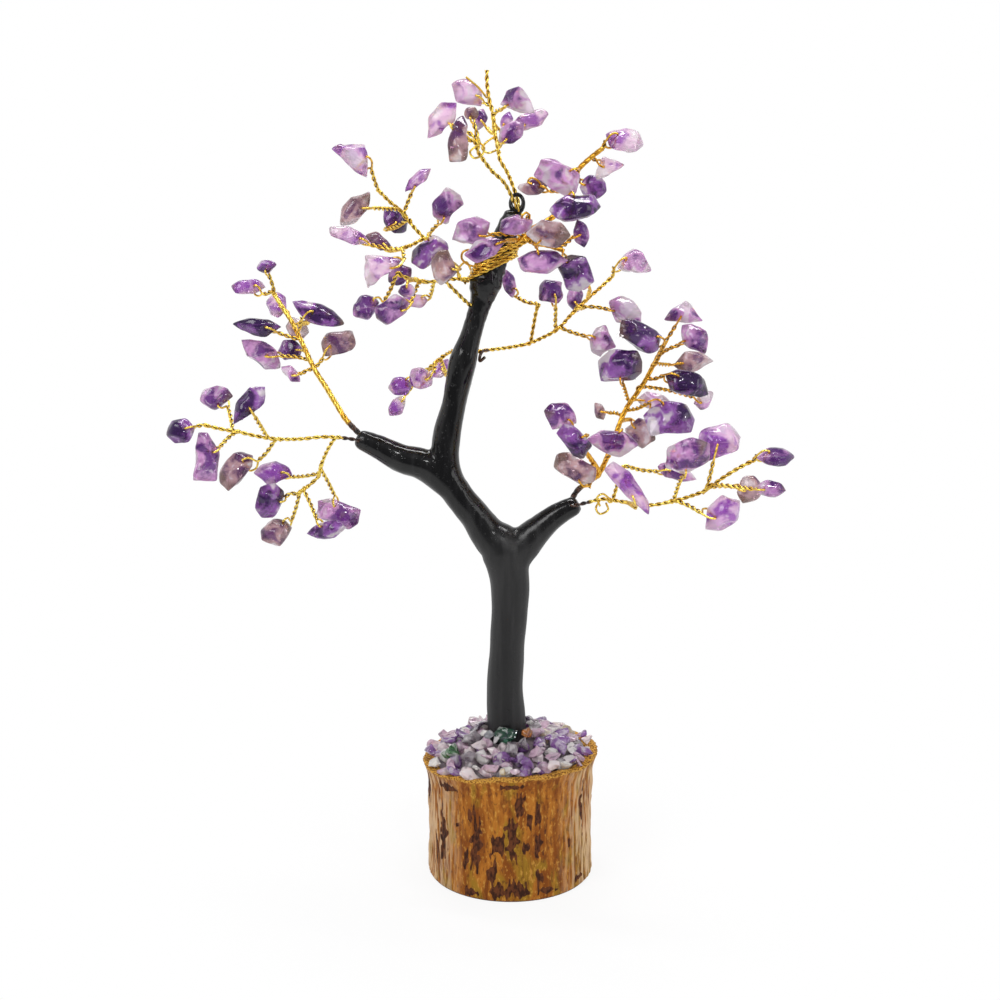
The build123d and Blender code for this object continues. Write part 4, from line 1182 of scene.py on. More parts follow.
def bark_point(angle, share, flakes):
    """A place on the bark's outside with its marks: flake with painted shade at the foot, left or right side, rim
    and ridge.
    """
    outer = LOG_RADIUS + BARK_THICKNESS
    top = rim_height(angle)
    height = share * top
    flare_from = 1 - BARK_RIM_DEPTH / top
    flare = max(0.0, (share - flare_from) / (1 - flare_from))
    waist = math.sin(math.pi * min(1.0, share / flare_from)) * 0.35 * MM
    foot = max(0.0, 1 - height / (0.6 * MM)) * 0.5 * MM
    radius = outer - waist - foot + BARK_RIM_FLARE * flare**1.6
    round_place = Vector((math.cos(angle) * outer, math.sin(angle) * outer, height))
    sides = min(1.0, max(0.0, (abs(math.cos(angle)) - 0.55) / 0.35))
    ridge = noise.noise(Vector((round_place.x / (0.75 * MM), round_place.y / (0.75 * MM), height / (9 * MM))))
    crack = noise.noise(Vector((round_place.x / (0.4 * MM), round_place.y / (0.4 * MM), height / (3 * MM))))
    swell = noise.noise(round_place / (8 * MM))
    flake = flake_mask(angle, height, flakes, round_place)
    relief = ridge * (0.10 + 0.32 * sides) + crack * (0.06 + 0.10 * sides) + swell * 0.25 - flake * 0.16
    fade = min(1.0, height / (1.2 * MM)) * (1 - 0.4 * flare)
    radius = radius + relief * fade * MM
    place = Vector((math.cos(angle) * radius, math.sin(angle) * radius, height))
    # The flake mark also carries painted shade: dark along the lowest half millimetre of the bark, where it meets
    # the floor
    flake_and_foot_shade = max(flake, 1 - height / (0.5 * MM))
    return place, (flake_and_foot_shade, sides, flare, 0.5 + 0.4 * ridge + 0.3 * crack)


def bark_sleeve(bark):
    """The bark round the log, with its grooves, flakes, flared rim and grainy top."""
    bm = bmesh.new()
    marks = []
    flakes = bark_flakes()
    angles = [2 * math.pi * i / BARK_AROUND for i in range(BARK_AROUND)]
    outer = LOG_RADIUS + BARK_THICKNESS
    inner = LOG_RADIUS + 0.06 * MM
    rows = []

    def add_row(places_and_marks):
        """Adds one ring of points."""
        ring = []
        for place, mark in places_and_marks:
            ring.append(bm.verts.new(place))
            marks.append(mark)
        rows.append(ring)

    # painted shade: the underside ring is marked partly dark
    add_row([((inner * math.cos(a), inner * math.sin(a), 0), (0.6, 0, 0, 1)) for a in angles])
    for j in range(BARK_UP + 1):
        add_row([bark_point(a, j / BARK_UP, flakes) for a in angles])
    for share in (0.12, 0.3, 0.5, 0.7, 0.88, 1.0):
        ring = []
        for a in angles:
            edge = outer + BARK_RIM_FLARE
            radius = edge * (1 - share) + inner * share
            place = Vector((math.cos(a) * radius, math.sin(a) * radius, rim_height(a)))
            grit = noise.noise(place / (0.42 * MM)) * 0.22 * MM + noise.noise(place / (1.7 * MM)) * 0.2 * MM
            place.z += grit - 0.25 * MM * (share if share > 0.5 else 0.0)
            ring.append((place, (0.0, 0.0, 1.0, 1.0)))
        add_row(ring)
    add_row([((inner * math.cos(a), inner * math.sin(a), LOG_HEIGHT), (0, 0, 1, 1)) for a in angles])
    for near, far in zip(rows, rows[1:]):
        for k in range(BARK_AROUND):
            bm.faces.new((near[k - 1], near[k], far[k], far[k - 1]))
    for k in range(BARK_AROUND):
        bm.faces.new((rows[-1][k - 1], rows[-1][k], rows[0][k], rows[0][k - 1]))
    bmesh.ops.recalc_face_normals(bm, faces=bm.faces)
    mesh = bpy.data.meshes.new("bark_sleeve")
    bm.to_mesh(mesh)
    bm.free()
    layer = mesh.color_attributes.new(BARK_MARKS, "FLOAT_COLOR", "POINT")
    for item, mark in zip(layer.data, marks):
        item.color = mark
    mesh.shade_smooth()
    return finished_piece("bark_sleeve", mesh, bark)


# Gravel
GRAVEL_EDGE = 0.42 * MM
GRAVEL_WEAR = 2
WORLD_AXES = (Vector((1, 0, 0)), Vector((0, 1, 0)), Vector((0, 0, 1)))


def loose_stones(node):
    """The points of each separate stone of a node."""
    bm = bmesh.new()
    bm.from_mesh(frame["nodes"][node].data)
    bmesh.ops.remove_doubles(bm, verts=bm.verts, dist=0.005 * MM)
    left = set(bm.verts)
    stones = []
    while left:
        grown = [left.pop()]
        stone = []
        while grown:
            v = grown.pop()
            stone.append(v.co.copy())
            for e in v.link_edges:
                other = e.other_vert(v)
                if other in left:
                    left.discard(other)
                    grown.append(other)
        stones.append(stone)
    bm.free()
    return sorted(stones, key=lambda stone: tuple(stone[0]))


def stone_colour(colour):
    """Marks every point of a stone with its own colour."""

    def mark(place):
        return (*colour, 1.0)

    return mark


def gravel_piece(node, palette, material, seed):
    """The gravel of one node, each stone with a colour from the palette."""
    stones = StoneMesh()
    draw = random.Random(seed)
    for i, points in enumerate(loose_stones(node)):
        bm = tumbled(points, WORLD_AXES, seed + i, GRAVEL_EDGE, GRAVEL_WEAR)
        stones.add(bm, stone_colour(draw.choice(palette)))
    return stones.piece(f"{node}_stones", material)


def rough_stone(place, size, thin, draw):
    """Points of a small rough stone at a place, as thin as the given share of its size."""
    points = []
    spin = Matrix.Rotation(draw.uniform(0, 2 * math.pi), 3, "Z")
    lean = Matrix.Rotation(draw.gauss(0, 0.3), 3, "X") @ Matrix.Rotation(draw.gauss(0, 0.3), 3, "Y") @ spin
    for _ in range(11):
        point = Vector([draw.gauss(0, 1) for _ in range(3)]).normalized()
        point = Vector((point.x, point.y * 0.8, point.z * thin)) * (size / 2) * draw.uniform(0.9, 1.1)
        points.append(place + lean @ point)
    return points


def mound_height(radius):
    """Height of the bed of glue under the gravel at a distance from the log's middle."""
    return LOG_HEIGHT + BED_EDGE + BED_RISE * (1 - radius / LOG_RADIUS)


def gravel_height(place):
    """Height of the gravel's top at a place, and of the bark's rim where the gravel spills over it."""
    radius = math.hypot(place.x, place.y)
    if radius > LOG_RADIUS:
        return rim_height(math.atan2(place.y, place.x)) + RIM_STONE_LIFT
    return mound_height(radius) + GRAVEL_DEPTH


def on_gravel(column, row):
    """The place on the gravel that a column and row show."""
    foot = spot(*TRUNK_PX_AND_SHARES[0][:3])
    rim = LOG_RADIUS + BARK_THICKNESS / 2
    line = [spot(column, row, depth) for depth in range(-95, 96)]
    over_log = [place for place in line if place.xy.length < rim]
    if not over_log:
        place = min(line, key=lambda passed: passed.xy.length)
        place.xy = place.xy.normalized() * rim
        over_log = [place]
    place = min(over_log, key=lambda passed: passed.z - gravel_height(passed))
    for passed in over_log:
        at_trunk = (passed - foot).xy.length < TRUNK_RADIUS * TRUNK_FOOT_SHARE + STONE_ROOM
        if at_trunk or passed.z <= gravel_height(passed):
            place = passed
            break
    place.z = gravel_height(place)
    return place


def apart(place, size, other):
    """Whether a stone only overlaps another that is laid by its thin edge."""
    other_place, other_size, _, room, _ = other
    return (place - other_place).length > (size + other_size) * room


def gravel_topping(material):
    """Stones heaped over the gravel and a little over the rim, and the odd ones that catch the eye."""
    stones = StoneMesh()
    draw = random.Random(5)
    foot = spot(*TRUNK_PX_AND_SHARES[0][:3])
    laid = []
    for column, row, size, lift, colour in ODD_STONES_PX:
        size = size * VIEW_REACH / VIEW_FOCAL_PX
        place = on_gravel(column, row) + Vector((0, 0, size * lift))
        laid.append((place, size, colour, 0.42, ODD_THIN_SHARE))
    for tries, least, most in TOPPING_TRIES_AND_SIZES:
        for _ in range(tries):
            radius = (LOG_RADIUS + RIM_SPILL) * math.sqrt(draw.uniform(0.08, 1.0))
            angle = draw.uniform(0, 2 * math.pi)
            size = draw.uniform(least, most)
            place = Vector((radius * math.cos(angle), radius * math.sin(angle), 0))
            place.z = gravel_height(place) + draw.uniform(-0.3, 0.8) * MM
            from_foot = (place - foot).xy.length
            colour = draw.choice(FOOT_COLOURS if from_foot < FOOT_REACH else TOPPING_COLOURS)
            clear_of_trunk = from_foot > TRUNK_RADIUS * TRUNK_FOOT_SHARE + size * 0.2
            if clear_of_trunk and all(apart(place, size, other) for other in laid):
                laid.append((place, size, colour, 0.23, THIN_SHARE))
    for i, (place, size, colour, _, thin) in enumerate(laid):
        bm = tumbled(rough_stone(place, size, thin, draw), WORLD_AXES, 300 + i, GRAVEL_EDGE, GRAVEL_WEAR)
        stones.add(bm, stone_colour(colour))
    return stones.piece("gravel_topping", material)


# Materials
def new_material(name):
    """A new material with its node tree and main shader."""
    material = bpy.data.materials.new(name)
    material.use_nodes = True
    tree = material.node_tree
    return material, tree, tree.nodes["Principled BSDF"]


def add_node(tree, kind, **settings):
    """Adds a node with the given properties."""
    node = tree.nodes.new(kind)
    for name, value in settings.items():
        setattr(node, name, value)
    return node


def feed(tree, node, **inputs):
    """Sets or links a node's inputs by name, with underscores for spaces."""
    for name, value in inputs.items():
        socket = node.inputs[int(name[1:])] if name[1:].isdigit() else node.inputs[name.replace("_", " ")]
        if isinstance(value, bpy.types.NodeSocket):
            tree.links.new(value, socket)
        else:
            socket.default_value = value
    return node


def sums(tree, operation, first, second, third=None):
    """One sum of two or three values."""
    node = add_node(tree, "ShaderNodeMath", operation=operation)
    feed(tree, node, i0=first, i1=second)
    if third is not None:
        feed(tree, node, i2=third)
    return node.outputs[0]


def limited(tree, value, low, high):
    """A value spread so that low gives 0 and high gives 1, softly."""
    node = add_node(tree, "ShaderNodeMapRange", interpolation_type="SMOOTHSTEP")
    feed(tree, node, Value=value, From_Min=low, From_Max=high)
    return node.outputs[0]


def mixed(tree, share, first, second):
    """A mix of two colours."""
    node = add_node(tree, "ShaderNodeMix", data_type="RGBA")
    feed(tree, node, i0=share, i6=first, i7=second)
    return node.outputs[2]


def new_group(name, inputs, outputs):
    """A node group with named sockets."""
    group = bpy.data.node_groups.new(name, "ShaderNodeTree")
    for socket, kind in inputs:
        group.interface.new_socket(socket, in_out="INPUT", socket_type=kind)
    for socket, kind in outputs:
        group.interface.new_socket(socket, in_out="OUTPUT", socket_type=kind)
    return group, group.nodes.new("NodeGroupInput"), group.nodes.new("NodeGroupOutput")


def piece_grain_group():
    """Noise fixed to a piece, in grains to the metre, stretched along its axes."""
    vector, number = "NodeSocketVector", "NodeSocketFloat"
    group, given, result = new_group(
        "piece_grain",
        [("Stretch", vector), ("Scale", number), ("Detail", number), ("Distortion", number)],
        [("Grain", number)],
    )
    place = add_node(group, "ShaderNodeTexCoord").outputs["Object"]
    sized = feed(group, add_node(group, "ShaderNodeMapping"), Vector=place, Scale=given.outputs["Stretch"])
    grain = add_node(group, "ShaderNodeTexNoise")
    feed(group, grain, Vector=sized.outputs[0], Scale=given.outputs["Scale"])
    feed(group, grain, Detail=given.outputs["Detail"], Distortion=given.outputs["Distortion"])
    group.links.new(grain.outputs["Fac"], result.inputs["Grain"])
    return group


PIECE_GRAIN = piece_grain_group()


def surface_noise(tree, scale, detail=3.0, stretch=(1, 1, 1), distortion=0.0):
    """Places the noise of a piece in a material."""
    grain = add_node(tree, "ShaderNodeGroup", node_tree=PIECE_GRAIN)
    feed(tree, grain, Stretch=stretch, Scale=scale, Detail=detail, Distortion=distortion)
    return grain.outputs["Grain"]


def marks_of(tree, name):
    """The marks painted on a piece's points, as three values."""
    attribute = add_node(tree, "ShaderNodeAttribute", attribute_name=name)
    split = feed(tree, add_node(tree, "ShaderNodeSeparateColor"), Color=attribute.outputs["Color"])
    return split.outputs[0], split.outputs[1], split.outputs[2]


def crystal_zoning_group():
    """Colour zones of a tumbled crystal: cloudy depth, clear and smoky ends, growth lines and veils."""
    colour, number = "NodeSocketColor", "NodeSocketFloat"
    group, given, result = new_group(
        "crystal_zoning",
        [("Deep", colour), ("Pale", colour), ("Smoke", colour), ("Edge", number), ("Zone", number),
         ("Lot", number), ("Paleness", number), ("Smokiness", number)],
        [("Colour", colour), ("Height", number)],
    )
    cloud = surface_noise(group, 210, 1.5, distortion=0.6)
    wisps = surface_noise(group, 620, 3.0, distortion=1.2)
    lines = surface_noise(group, 260, 2.0, (0.6, 1.4, 4.0), 0.6)
    fine = surface_noise(group, 1900, 2.0)
    # painted light: paler towards each chip's thin outline, as light shining through the thin edges, on top of the
    # crystal's own zoning
    pale = sums(group, "MULTIPLY_ADD", given.outputs["Edge"], 0.35, given.outputs["Paleness"])
    pale = sums(group, "MULTIPLY_ADD", cloud, 4.0, sums(group, "ADD", pale, -2.15))
    pale = sums(group, "MULTIPLY_ADD", given.outputs["Lot"], 0.50, sums(group, "ADD", pale, -0.25))
    pale = sums(group, "MULTIPLY_ADD", given.outputs["Zone"], 0.70, sums(group, "ADD", pale, -0.35))
    pale = sums(group, "MULTIPLY_ADD", wisps, 0.8, sums(group, "ADD", pale, -0.40))
    body = mixed(group, limited(group, pale, -0.02, 0.66), given.outputs["Deep"], given.outputs["Pale"])
    smoke = sums(group, "MULTIPLY_ADD", cloud, -1.6, sums(group, "SUBTRACT", 1.7, given.outputs["Zone"]))
    smoke = limited(group, sums(group, "ADD", smoke, given.outputs["Smokiness"]), 0.70, 1.20)
    body = mixed(group, sums(group, "MULTIPLY", smoke, 0.7), body, given.outputs["Smoke"])
    clear = sums(group, "MULTIPLY", limited(group, pale, 0.66, 1.15), 0.9)
    body = mixed(group, clear, body, (0.94, 0.86, 0.90, 1))
    banding = sums(group, "MULTIPLY", limited(group, lines, 0.58, 0.66), 0.25)
    body = mixed(group, banding, body, given.outputs["Pale"])
    veil = sums(group, "MULTIPLY", limited(group, wisps, 0.62, 0.70), 0.4)
    body = mixed(group, veil, body, (0.85, 0.74, 0.87, 1))
    height = sums(group, "MULTIPLY_ADD", fine, 0.25, lines)
    group.links.new(body, result.inputs["Colour"])
    group.links.new(height, result.inputs["Height"])
    return group


def bumped(tree, height, strength, distance):
    """A bump from a height."""
    bump = add_node(tree, "ShaderNodeBump")
    feed(tree, bump, Strength=strength, Distance=distance, Height=height)
    return bump.outputs[0]


def amethyst(name, zoning, deep, pale, smoke, paleness, smokiness, clearness):
    """Polished, translucent amethyst of one tone."""
    material, tree, shader = new_material(name)
    edge, zone, lot = marks_of(tree, CHIP_MARKS)
    zones = add_node(tree, "ShaderNodeGroup", node_tree=zoning)
    feed(tree, zones, Deep=deep, Pale=pale, Smoke=smoke, Edge=edge, Zone=zone, Lot=lot)
    feed(tree, zones, Paleness=paleness, Smokiness=smokiness)
    feed(tree, shader, Base_Color=zones.outputs["Colour"], Roughness=0.09, IOR=1.54)
    feed(tree, shader, Transmission_Weight=clearness)
    feed(tree, shader, Normal=bumped(tree, zones.outputs["Height"], 0.15, 0.2 * MM))
    return material


def gravel_gems():
    """Small tumbled stones, each with its own colour."""
    material, tree, shader = new_material("gravel_gems")
    attribute = add_node(tree, "ShaderNodeAttribute", attribute_name=CHIP_MARKS)
    cloud = surface_noise(tree, 420, 2.0, distortion=0.6)
    lighter = mixed(tree, 0.65, attribute.outputs["Color"], (1.0, 0.97, 0.97, 1))
    darker = mixed(tree, 0.5, attribute.outputs["Color"], (0.05, 0.03, 0.08, 1))
    body = mixed(tree, limited(tree, cloud, 0.47, 0.66), attribute.outputs["Color"], lighter)
    body = mixed(tree, limited(tree, cloud, 0.46, 0.30), body, darker)
    fine = surface_noise(tree, 1700, 2.0)
    feed(tree, shader, Base_Color=body, Roughness=0.04, IOR=1.54, Transmission_Weight=0.55)
    feed(tree, shader, Normal=bumped(tree, fine, 0.12, 0.15 * MM))
    return material


def gold_wire():
    """Bright gold-toned wire, painted darker as shade in the grooves of the twist, with black paint at the roots."""
    material, tree, shader = new_material("gold_wire")
    paint, groove_shade, warmth = marks_of(tree, WIRE_MARKS)
    wear = surface_noise(tree, 900, 3.0)
    patch = surface_noise(tree, 110, 2.0)
    worn_gold = limited(tree, wear, 0.42, 0.66)
    bright = mixed(tree, worn_gold, (1.0, 0.76, 0.16, 1), (0.72, 0.45, 0.06, 1))
    orange = mixed(tree, worn_gold, (0.86, 0.47, 0.055, 1), (0.48, 0.22, 0.02, 1))
    lean = limited(tree, sums(tree, "ADD", warmth, patch), 0.70, 1.40)
    bright = mixed(tree, lean, bright, orange)
    # painted shade: dark brown where the wire faces into the groove of the twist
    metal = mixed(tree, limited(tree, groove_shade, 0.50, 0.80), bright, (0.13, 0.052, 0.006, 1))
    painted = mixed(tree, limited(tree, wear, 0.38, 0.62), (0.010, 0.006, 0.005, 1), (0.075, 0.028, 0.012, 1))
    body = mixed(tree, paint, metal, painted)
    roughness = sums(tree, "MULTIPLY_ADD", wear, 0.22, 0.14)
    metallic = sums(tree, "SUBTRACT", 1.0, paint)
    feed(tree, shader, Base_Color=body, Roughness=roughness, Metallic=metallic)
    return material


def black_coat():
    """Black coat laid on by brush, glossy on the arms and satin on the lower trunk, which is also painted lighter as
    a painted reflection of the floor.
    """
    material, tree, shader = new_material("black_coat")
    drag = surface_noise(tree, 520, 4.0, (1, 1, 0.09))
    pits = surface_noise(tree, 1100, 2.0)
    place = add_node(tree, "ShaderNodeTexCoord").outputs["Object"]
    height = feed(tree, add_node(tree, "ShaderNodeSeparateXYZ"), Vector=place).outputs[2]
    satin_and_sheen = limited(tree, height, GLOSSY_FROM, SATIN_AND_SHEEN_BELOW)
    brushed = limited(tree, drag, 0.42, 0.75)
    gloss = mixed(tree, brushed, (0.0015, 0.0015, 0.0018, 1), (0.009, 0.009, 0.0095, 1))
    # painted reflection: the lower trunk's colours are lighter than the arms', standing for the floor it reflects,
    # besides its satin finish
    body = mixed(tree, satin_and_sheen, gloss, mixed(tree, brushed, (0.006, 0.006, 0.0065, 1), (0.019, 0.0185, 0.019, 1)))
    roughness = sums(tree, "MULTIPLY_ADD", brushed, 0.16, 0.06)
    roughness = sums(tree, "MULTIPLY_ADD", satin_and_sheen, 0.38, roughness)
    relief = sums(tree, "MULTIPLY_ADD", limited(tree, pits, 0.62, 0.72), -0.5, drag)
    feed(tree, shader, Base_Color=body, Roughness=roughness, Specular_IOR_Level=0.4)
    feed(tree, shader, Normal=bumped(tree, relief, 0.45, 0.2 * MM))
    return material


def bark_skin():
    """Bark: orange and ochre streaks, olive stains, dark flakes, painted shade along the foot, ridged sides with a
    painted highlight on the ridges and painted shade in the furrows, a grainy gold rim.
    """
    material, tree, shader = new_material("bark_skin")
    attribute = add_node(tree, "ShaderNodeAttribute", attribute_name=BARK_MARKS)
    split = feed(tree, add_node(tree, "ShaderNodeSeparateColor"), Color=attribute.outputs["Color"])
    flake, sides, rim = split.outputs[0], split.outputs[1], split.outputs[2]
    ridge = attribute.outputs["Alpha"]
    streak = surface_noise(tree, 420, 4.0, (1, 1, 0.22), 0.6)
    stain = surface_noise(tree, 150, 4.0, (1, 1, 0.4), 0.8)
    fibre = surface_noise(tree, 1500, 3.0, (1, 1, 0.14))
    speck = surface_noise(tree, 1300, 3.0, (1, 1, 0.5))
    grit = surface_noise(tree, 2300, 2.0)
    body = mixed(tree, limited(tree, streak, 0.36, 0.64), (0.20, 0.055, 0.007, 1), (0.40, 0.145, 0.019, 1))
    body = mixed(tree, sums(tree, "MULTIPLY", limited(tree, stain, 0.50, 0.62), 0.8), body, (0.27, 0.155, 0.014, 1))
    body = mixed(tree, sums(tree, "MULTIPLY", limited(tree, fibre, 0.52, 0.68), 0.55), body, (0.13, 0.038, 0.009, 1))
    body = mixed(tree, sums(tree, "MULTIPLY", limited(tree, speck, 0.56, 0.66), 0.5), body, (0.60, 0.31, 0.060, 1))
    body = mixed(tree, sums(tree, "MULTIPLY", limited(tree, speck, 0.42, 0.34), 0.6), body, (0.10, 0.032, 0.010, 1))
    # painted highlight: the ridge tops on the log's left and right sides are lighter
    crest_highlight = sums(tree, "MULTIPLY", sides, limited(tree, ridge, 0.35, 0.65))
    body = mixed(tree, sums(tree, "MULTIPLY", crest_highlight, 0.85), body, (0.66, 0.46, 0.27, 1))
    # painted shade: the furrows between those ridges are darker
    furrow_shade = sums(tree, "MULTIPLY", sides, limited(tree, ridge, 0.40, 0.20))
    body = mixed(tree, sums(tree, "MULTIPLY", furrow_shade, 0.8), body, (0.13, 0.060, 0.032, 1))
    flaked = mixed(tree, limited(tree, speck, 0.38, 0.62), (0.036, 0.012, 0.006, 1), (0.12, 0.038, 0.014, 1))
    # the dark flake colour also falls on the bark's foot as painted shade, through the flake mark
    torn = sums(tree, "MULTIPLY_ADD", fibre, 0.9, sums(tree, "MULTIPLY_ADD", speck, 0.7, flake))
    body = mixed(tree, limited(tree, torn, 1.18, 1.36), body, flaked)
    grains = mixed(tree, limited(tree, grit, 0.42, 0.56), (0.17, 0.062, 0.010, 1), (0.66, 0.35, 0.060, 1))
    body = mixed(tree, limited(tree, rim, 0.80, 0.98), body, grains)
    roughness = sums(tree, "MULTIPLY_ADD", fibre, 0.25, 0.42)
    relief = sums(tree, "MULTIPLY_ADD", grit, 0.35, fibre)
    feed(tree, shader, Base_Color=body, Roughness=roughness, Specular_IOR_Level=0.1)
    feed(tree, shader, Normal=bumped(tree, relief, 0.5, 0.3 * MM))
    return material


def sawn_wood():
    """The log's sawn wood, with rings round its heart and fine fibres."""
    material, tree, shader = new_material("sawn_wood")
    place = add_node(tree, "ShaderNodeTexCoord").outputs["Object"]
    rings = add_node(tree, "ShaderNodeTexWave", wave_type="RINGS", rings_direction="Z")
    feed(tree, rings, Vector=place, Scale=190.0, Distortion=4.0, Detail=2.0)
    fibre = surface_noise(tree, 1500, 3.0, (1, 1, 0.2))
    body = mixed(tree, rings.outputs["Fac"], (0.44, 0.27, 0.13, 1), (0.60, 0.42, 0.23, 1))
    body = mixed(tree, sums(tree, "MULTIPLY", limited(tree, fibre, 0.5, 0.75), 0.5), body, (0.25, 0.13, 0.055, 1))
    feed(tree, shader, Base_Color=body, Roughness=0.75, Normal=bumped(tree, fibre, 0.4, 0.2 * MM))
    return material


def set_glue():
    """Set glue between the stones, clouded with stone dust, and kept dark as painted shade in the gaps between the
    stones.
    """
    material, tree, shader = new_material("set_glue")
    cloud = surface_noise(tree, 350, 3.0)
    # painted shade: the glue's dark tones stand for the shade in the gaps between stones
    body = mixed(tree, limited(tree, cloud, 0.4, 0.65), (0.09, 0.07, 0.08, 1), (0.26, 0.21, 0.23, 1))
    feed(tree, shader, Base_Color=body, Roughness=0.3, Normal=bumped(tree, cloud, 0.5, 0.5 * MM))
    return material


def drawn_wire():
    """Plain drawn wire of the hidden core."""
    material, tree, shader = new_material("drawn_wire")
    scratch = surface_noise(tree, 1500, 2.0, (1, 1, 0.1))
    body = mixed(tree, scratch, (0.35, 0.34, 0.33, 1), (0.55, 0.54, 0.52, 1))
    feed(tree, shader, Base_Color=body, Metallic=1.0, Roughness=sums(tree, "MULTIPLY_ADD", scratch, 0.2, 0.25))
    return material


def finished_piece(name, mesh, material):
    """A piece made from a mesh, with its material, in the scene."""
    mesh.materials.append(material)
    piece = bpy.data.objects.new(name, mesh)
    bpy.context.scene.collection.objects.link(piece)
    return piece


def kept_in_box(piece):
    """Draws in the points of a piece that stand out of the CAD model's box."""
    low, high = cad_box
    for v in piece.data.vertices:
        v.co = [min(max(value, least), most) for value, least, most in zip(v.co, low, high)]


def take_place(piece, body, slot, *nodes):
    """The piece is drawn into the CAD box, rides on a body and stands for the nodes, which are hidden; the slot is
    not used.
    """
    kept_in_box(piece)
    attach(piece, body)
    if nodes:
        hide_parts(*nodes)


def dress_node(node, material):
    """Gives a node that stays its material."""
    slots = frame["nodes"][node].material_slots
    for slot in slots:
        slot.material = material


def build_base():
    """The log, its bark and the bed of gravel."""
    dress_node("base_log", sawn_wood())
    dress_node("glue_bed", set_glue())
    take_place(bark_sleeve(bark_skin()), ROOT_BODY, "bark", "bark")
    gems = gravel_gems()
    palettes = {
        "gravel_amethyst": (LILAC, VIOLET, PALE_LILAC, LILAC, DUSK),
        "gravel_quartz": (CLEAR, PALE_LILAC, CLEAR),
        "gravel_colour": (STRAW, DUSK, PALE_LILAC),
    }
    for i, (node, palette) in enumerate(palettes.items()):
        take_place(gravel_piece(node, palette, gems, 100 * (i + 1)), ROOT_BODY, node, node)
    take_place(gravel_topping(gems), ROOT_BODY, "gravel_amethyst")


def build_trunk(gold):
    """The black trunk with its hidden core and its binding."""
    dress_node("trunk_core", drawn_wire())
    take_place(black_trunk(black_coat()), ROOT_BODY, "trunk_coat", "trunk")
    take_place(binding_bundle(gold), ROOT_BODY, "gold_wire", "binding_wire")
    lays = binding_lays(gold)
    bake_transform(lays)


def build_sprays(gold):
    """Every spray: its stems, twigs and chips."""
    zoning = crystal_zoning_group()
    smoke = (0.29, 0.18, 0.11, 1)
    tones = {
        "deep": amethyst("amethyst_deep", zoning, (0.034, 0.006, 0.076, 1), (0.34, 0.11, 0.47, 1), smoke, 0.08, -0.05, 0.5),
        "mid": amethyst("amethyst_mid", zoning, (0.098, 0.017, 0.178, 1), (0.71, 0.35, 0.69, 1), smoke, 0.34, -0.05, 0.55),
        "pale": amethyst("amethyst_pale", zoning, (0.33, 0.085, 0.48, 1), (0.94, 0.64, 0.85, 1), smoke, 0.48, -0.15, 0.6),
        "smoky": amethyst("amethyst_smoky", zoning, (0.12, 0.033, 0.145, 1), (0.61, 0.38, 0.40, 1), smoke, 0.35, 0.3, 0.55),
    }
    index = 0
    for spray in SPRAYS:
        body = f"{spray.name}_spray"
        paths = stem_paths(spray)
        chips = [thread(paths, chip, index + i) for i, chip in enumerate(spray.chips)]
        index += len(chips)
        take_place(spray_stem(spray, paths, gold), body, "gold_wire", f"{spray.name}_stem")
        take_place(spray_twigs(spray, chips, gold), body, "gold_wire", f"{spray.name}_twigs")
        by_node = {}
        for threaded in chips:
            by_node.setdefault(threaded.chip.node, []).append(threaded)
        for kind, group in by_node.items():
            tone = kind if kind in TONES else LOOSE_TONES[kind]
            node = f"{spray.name}_{kind}_chips" if kind in TONES else kind
            stones = StoneMesh()
            for threaded in group:
                gem_chip(stones, threaded)
            piece = stones.piece(f"{node}_gems", tones[tone])
            take_place(piece, body if kind in TONES else kind, f"amethyst_{tone}", node)


# Studio
def white_stage():
    """A white floor with the ornament's faint shadow; in gloss it is dark towards the eye."""
    material, tree, shader = new_material("white_floor")
    feed(tree, shader, Base_Color=(0.86, 0.86, 0.86, 1), Roughness=0.9)
    path = add_node(tree, "ShaderNodeLightPath")
    seen = sums(tree, "MAXIMUM", path.outputs["Is Camera Ray"], path.outputs["Is Glossy Ray"])
    seen = sums(tree, "MAXIMUM", seen, path.outputs["Is Transmission Ray"])
    place = add_node(tree, "ShaderNodeTexCoord").outputs["Object"]
    far = feed(tree, add_node(tree, "ShaderNodeVectorMath", operation="LENGTH"), i0=place).outputs["Value"]
    whiteness = sums(tree, "MULTIPLY_ADD", limited(tree, far, 2 * LOG_RADIUS, 5 * LOG_RADIUS), 0.14, 0.86)
    before = feed(tree, add_node(tree, "ShaderNodeSeparateXYZ"), Vector=place).outputs[1]
    gloss_share = sums(tree, "MULTIPLY", limited(tree, before, -0.18, -0.5), path.outputs["Is Glossy Ray"])
    tint = mixed(tree, gloss_share, (1, 1, 1, 1), (0.25, 0.25, 0.26, 1))
    glow = feed(tree, add_node(tree, "ShaderNodeEmission"), Color=tint, Strength=1.0)
    blend = add_node(tree, "ShaderNodeMixShader")
    feed(tree, blend, i0=sums(tree, "MULTIPLY", seen, whiteness), i1=shader.outputs[0], i2=glow.outputs[0])
    tree.links.new(blend.outputs[0], tree.nodes["Material Output"].inputs["Surface"])
    mesh = bpy.data.meshes.new("white_floor")
    half = FLOOR_REACH
    mesh.from_pydata([(-half, -half, 0), (half, -half, 0), (half, half, 0), (-half, half, 0)], [], [(0, 1, 2, 3)])
    finished_piece("white_floor", mesh, material)


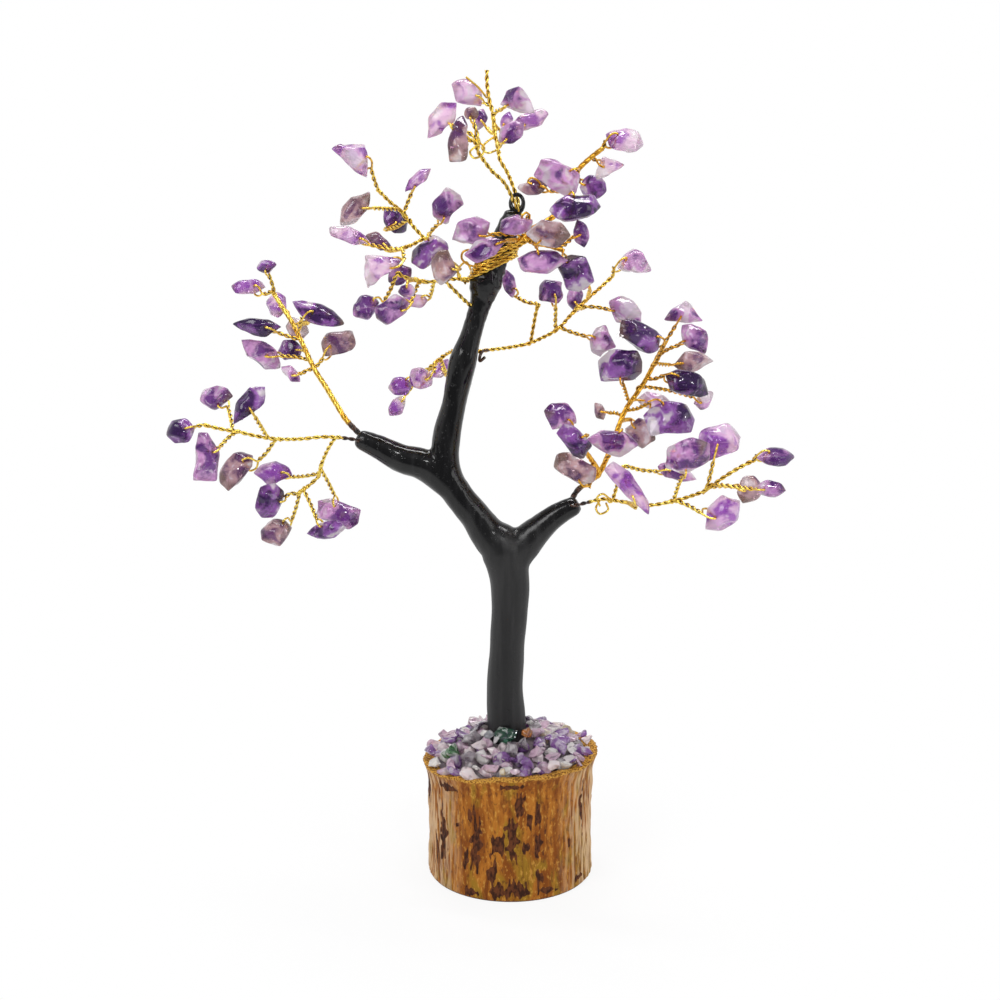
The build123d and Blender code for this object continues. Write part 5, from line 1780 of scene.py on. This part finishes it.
def white_world():
    """White all round for the eye; in gloss and glass the room in front and the ceiling are darker."""
    world = bpy.data.worlds.new("white_room")
    bpy.context.scene.world = world
    world.use_nodes = True
    tree = world.node_tree
    shader = tree.nodes["Background"]
    path = add_node(tree, "ShaderNodeLightPath")
    place = add_node(tree, "ShaderNodeTexCoord").outputs["Generated"]
    towards = feed(tree, add_node(tree, "ShaderNodeSeparateXYZ"), Vector=place)
    front = limited(tree, sums(tree, "MULTIPLY", towards.outputs[1], -1.0), 0.15, 0.95)
    room = mixed(tree, front, (1, 1, 1, 1), (0.28, 0.28, 0.285, 1))
    room = mixed(tree, limited(tree, towards.outputs[2], 0.25, 0.8), room, (0.42, 0.42, 0.43, 1))
    shown = sums(tree, "MAXIMUM", path.outputs["Is Glossy Ray"], path.outputs["Is Transmission Ray"])
    light = mixed(tree, shown, (0.55, 0.55, 0.56, 1), room)
    feed(tree, shader, Color=mixed(tree, path.outputs["Is Camera Ray"], light, (1, 1, 1, 1)), Strength=1.0)


def soft_box(name, place, aim, size, power):
    """A soft lamp at a place, turned to a point."""
    lamp = bpy.data.lights.new(name, "AREA")
    lamp.shape = "RECTANGLE"
    lamp.size, lamp.size_y = size
    lamp.energy = power
    holder = bpy.data.objects.new(name, lamp)
    holder.location = place
    holder.rotation_euler = (Vector(aim) - Vector(place)).to_track_quat("-Z", "Y").to_euler()
    bpy.context.scene.collection.objects.link(holder)


def photo_camera():
    """The camera where the photograph was taken from."""
    lens = bpy.data.cameras.new("photo_camera")
    lens.sensor_width = SENSOR_WIDTH
    lens.lens = SENSOR_WIDTH * VIEW_FOCAL_PX / PICTURE_PX
    lens.clip_start = 10 * MM
    holder = bpy.data.objects.new("photo_camera", lens)
    foot_across, foot_up = sight(*FOOT_PX)
    holder.location = (-VIEW_REACH * foot_across, -VIEW_REACH, -VIEW_REACH * foot_up)
    holder.rotation_euler = (math.radians(90 - VIEW_TILT), 0, 0)
    bpy.context.scene.collection.objects.link(holder)
    bpy.context.scene.camera = holder


ROOT_BODY = "trunk_and_base"
LOOSE_TONES = {
    "left_end_chip": "deep",
    "left_hanging_chip": "pale",
    "right_end_chip": "mid",
    "right_hanging_chip": "smoky",
}
FLOOR_REACH = 3.0
SENSOR_WIDTH = 36.0

gold = gold_wire()
build_base()
build_trunk(gold)
build_sprays(gold)
white_stage()
white_world()
soft_box("key_box", (-0.35, -0.45, 0.55), (0, 0, 0.1), (0.35, 0.35), 1.9)
soft_box("fill_box", (0.5, -0.35, 0.3), (0, 0, 0.12), (0.3, 0.5), 0.8)
soft_box("top_strip", (0.05, 0.12, 0.6), (0, 0, 0.12), (0.5, 0.06), 1.5)
soft_box("spark_lamp", (0.14, -0.5, 0.5), (0, 0, 0.1), (0.06, 0.06), 0.5)
photo_camera()
bpy.context.scene.view_settings.view_transform = "Standard"
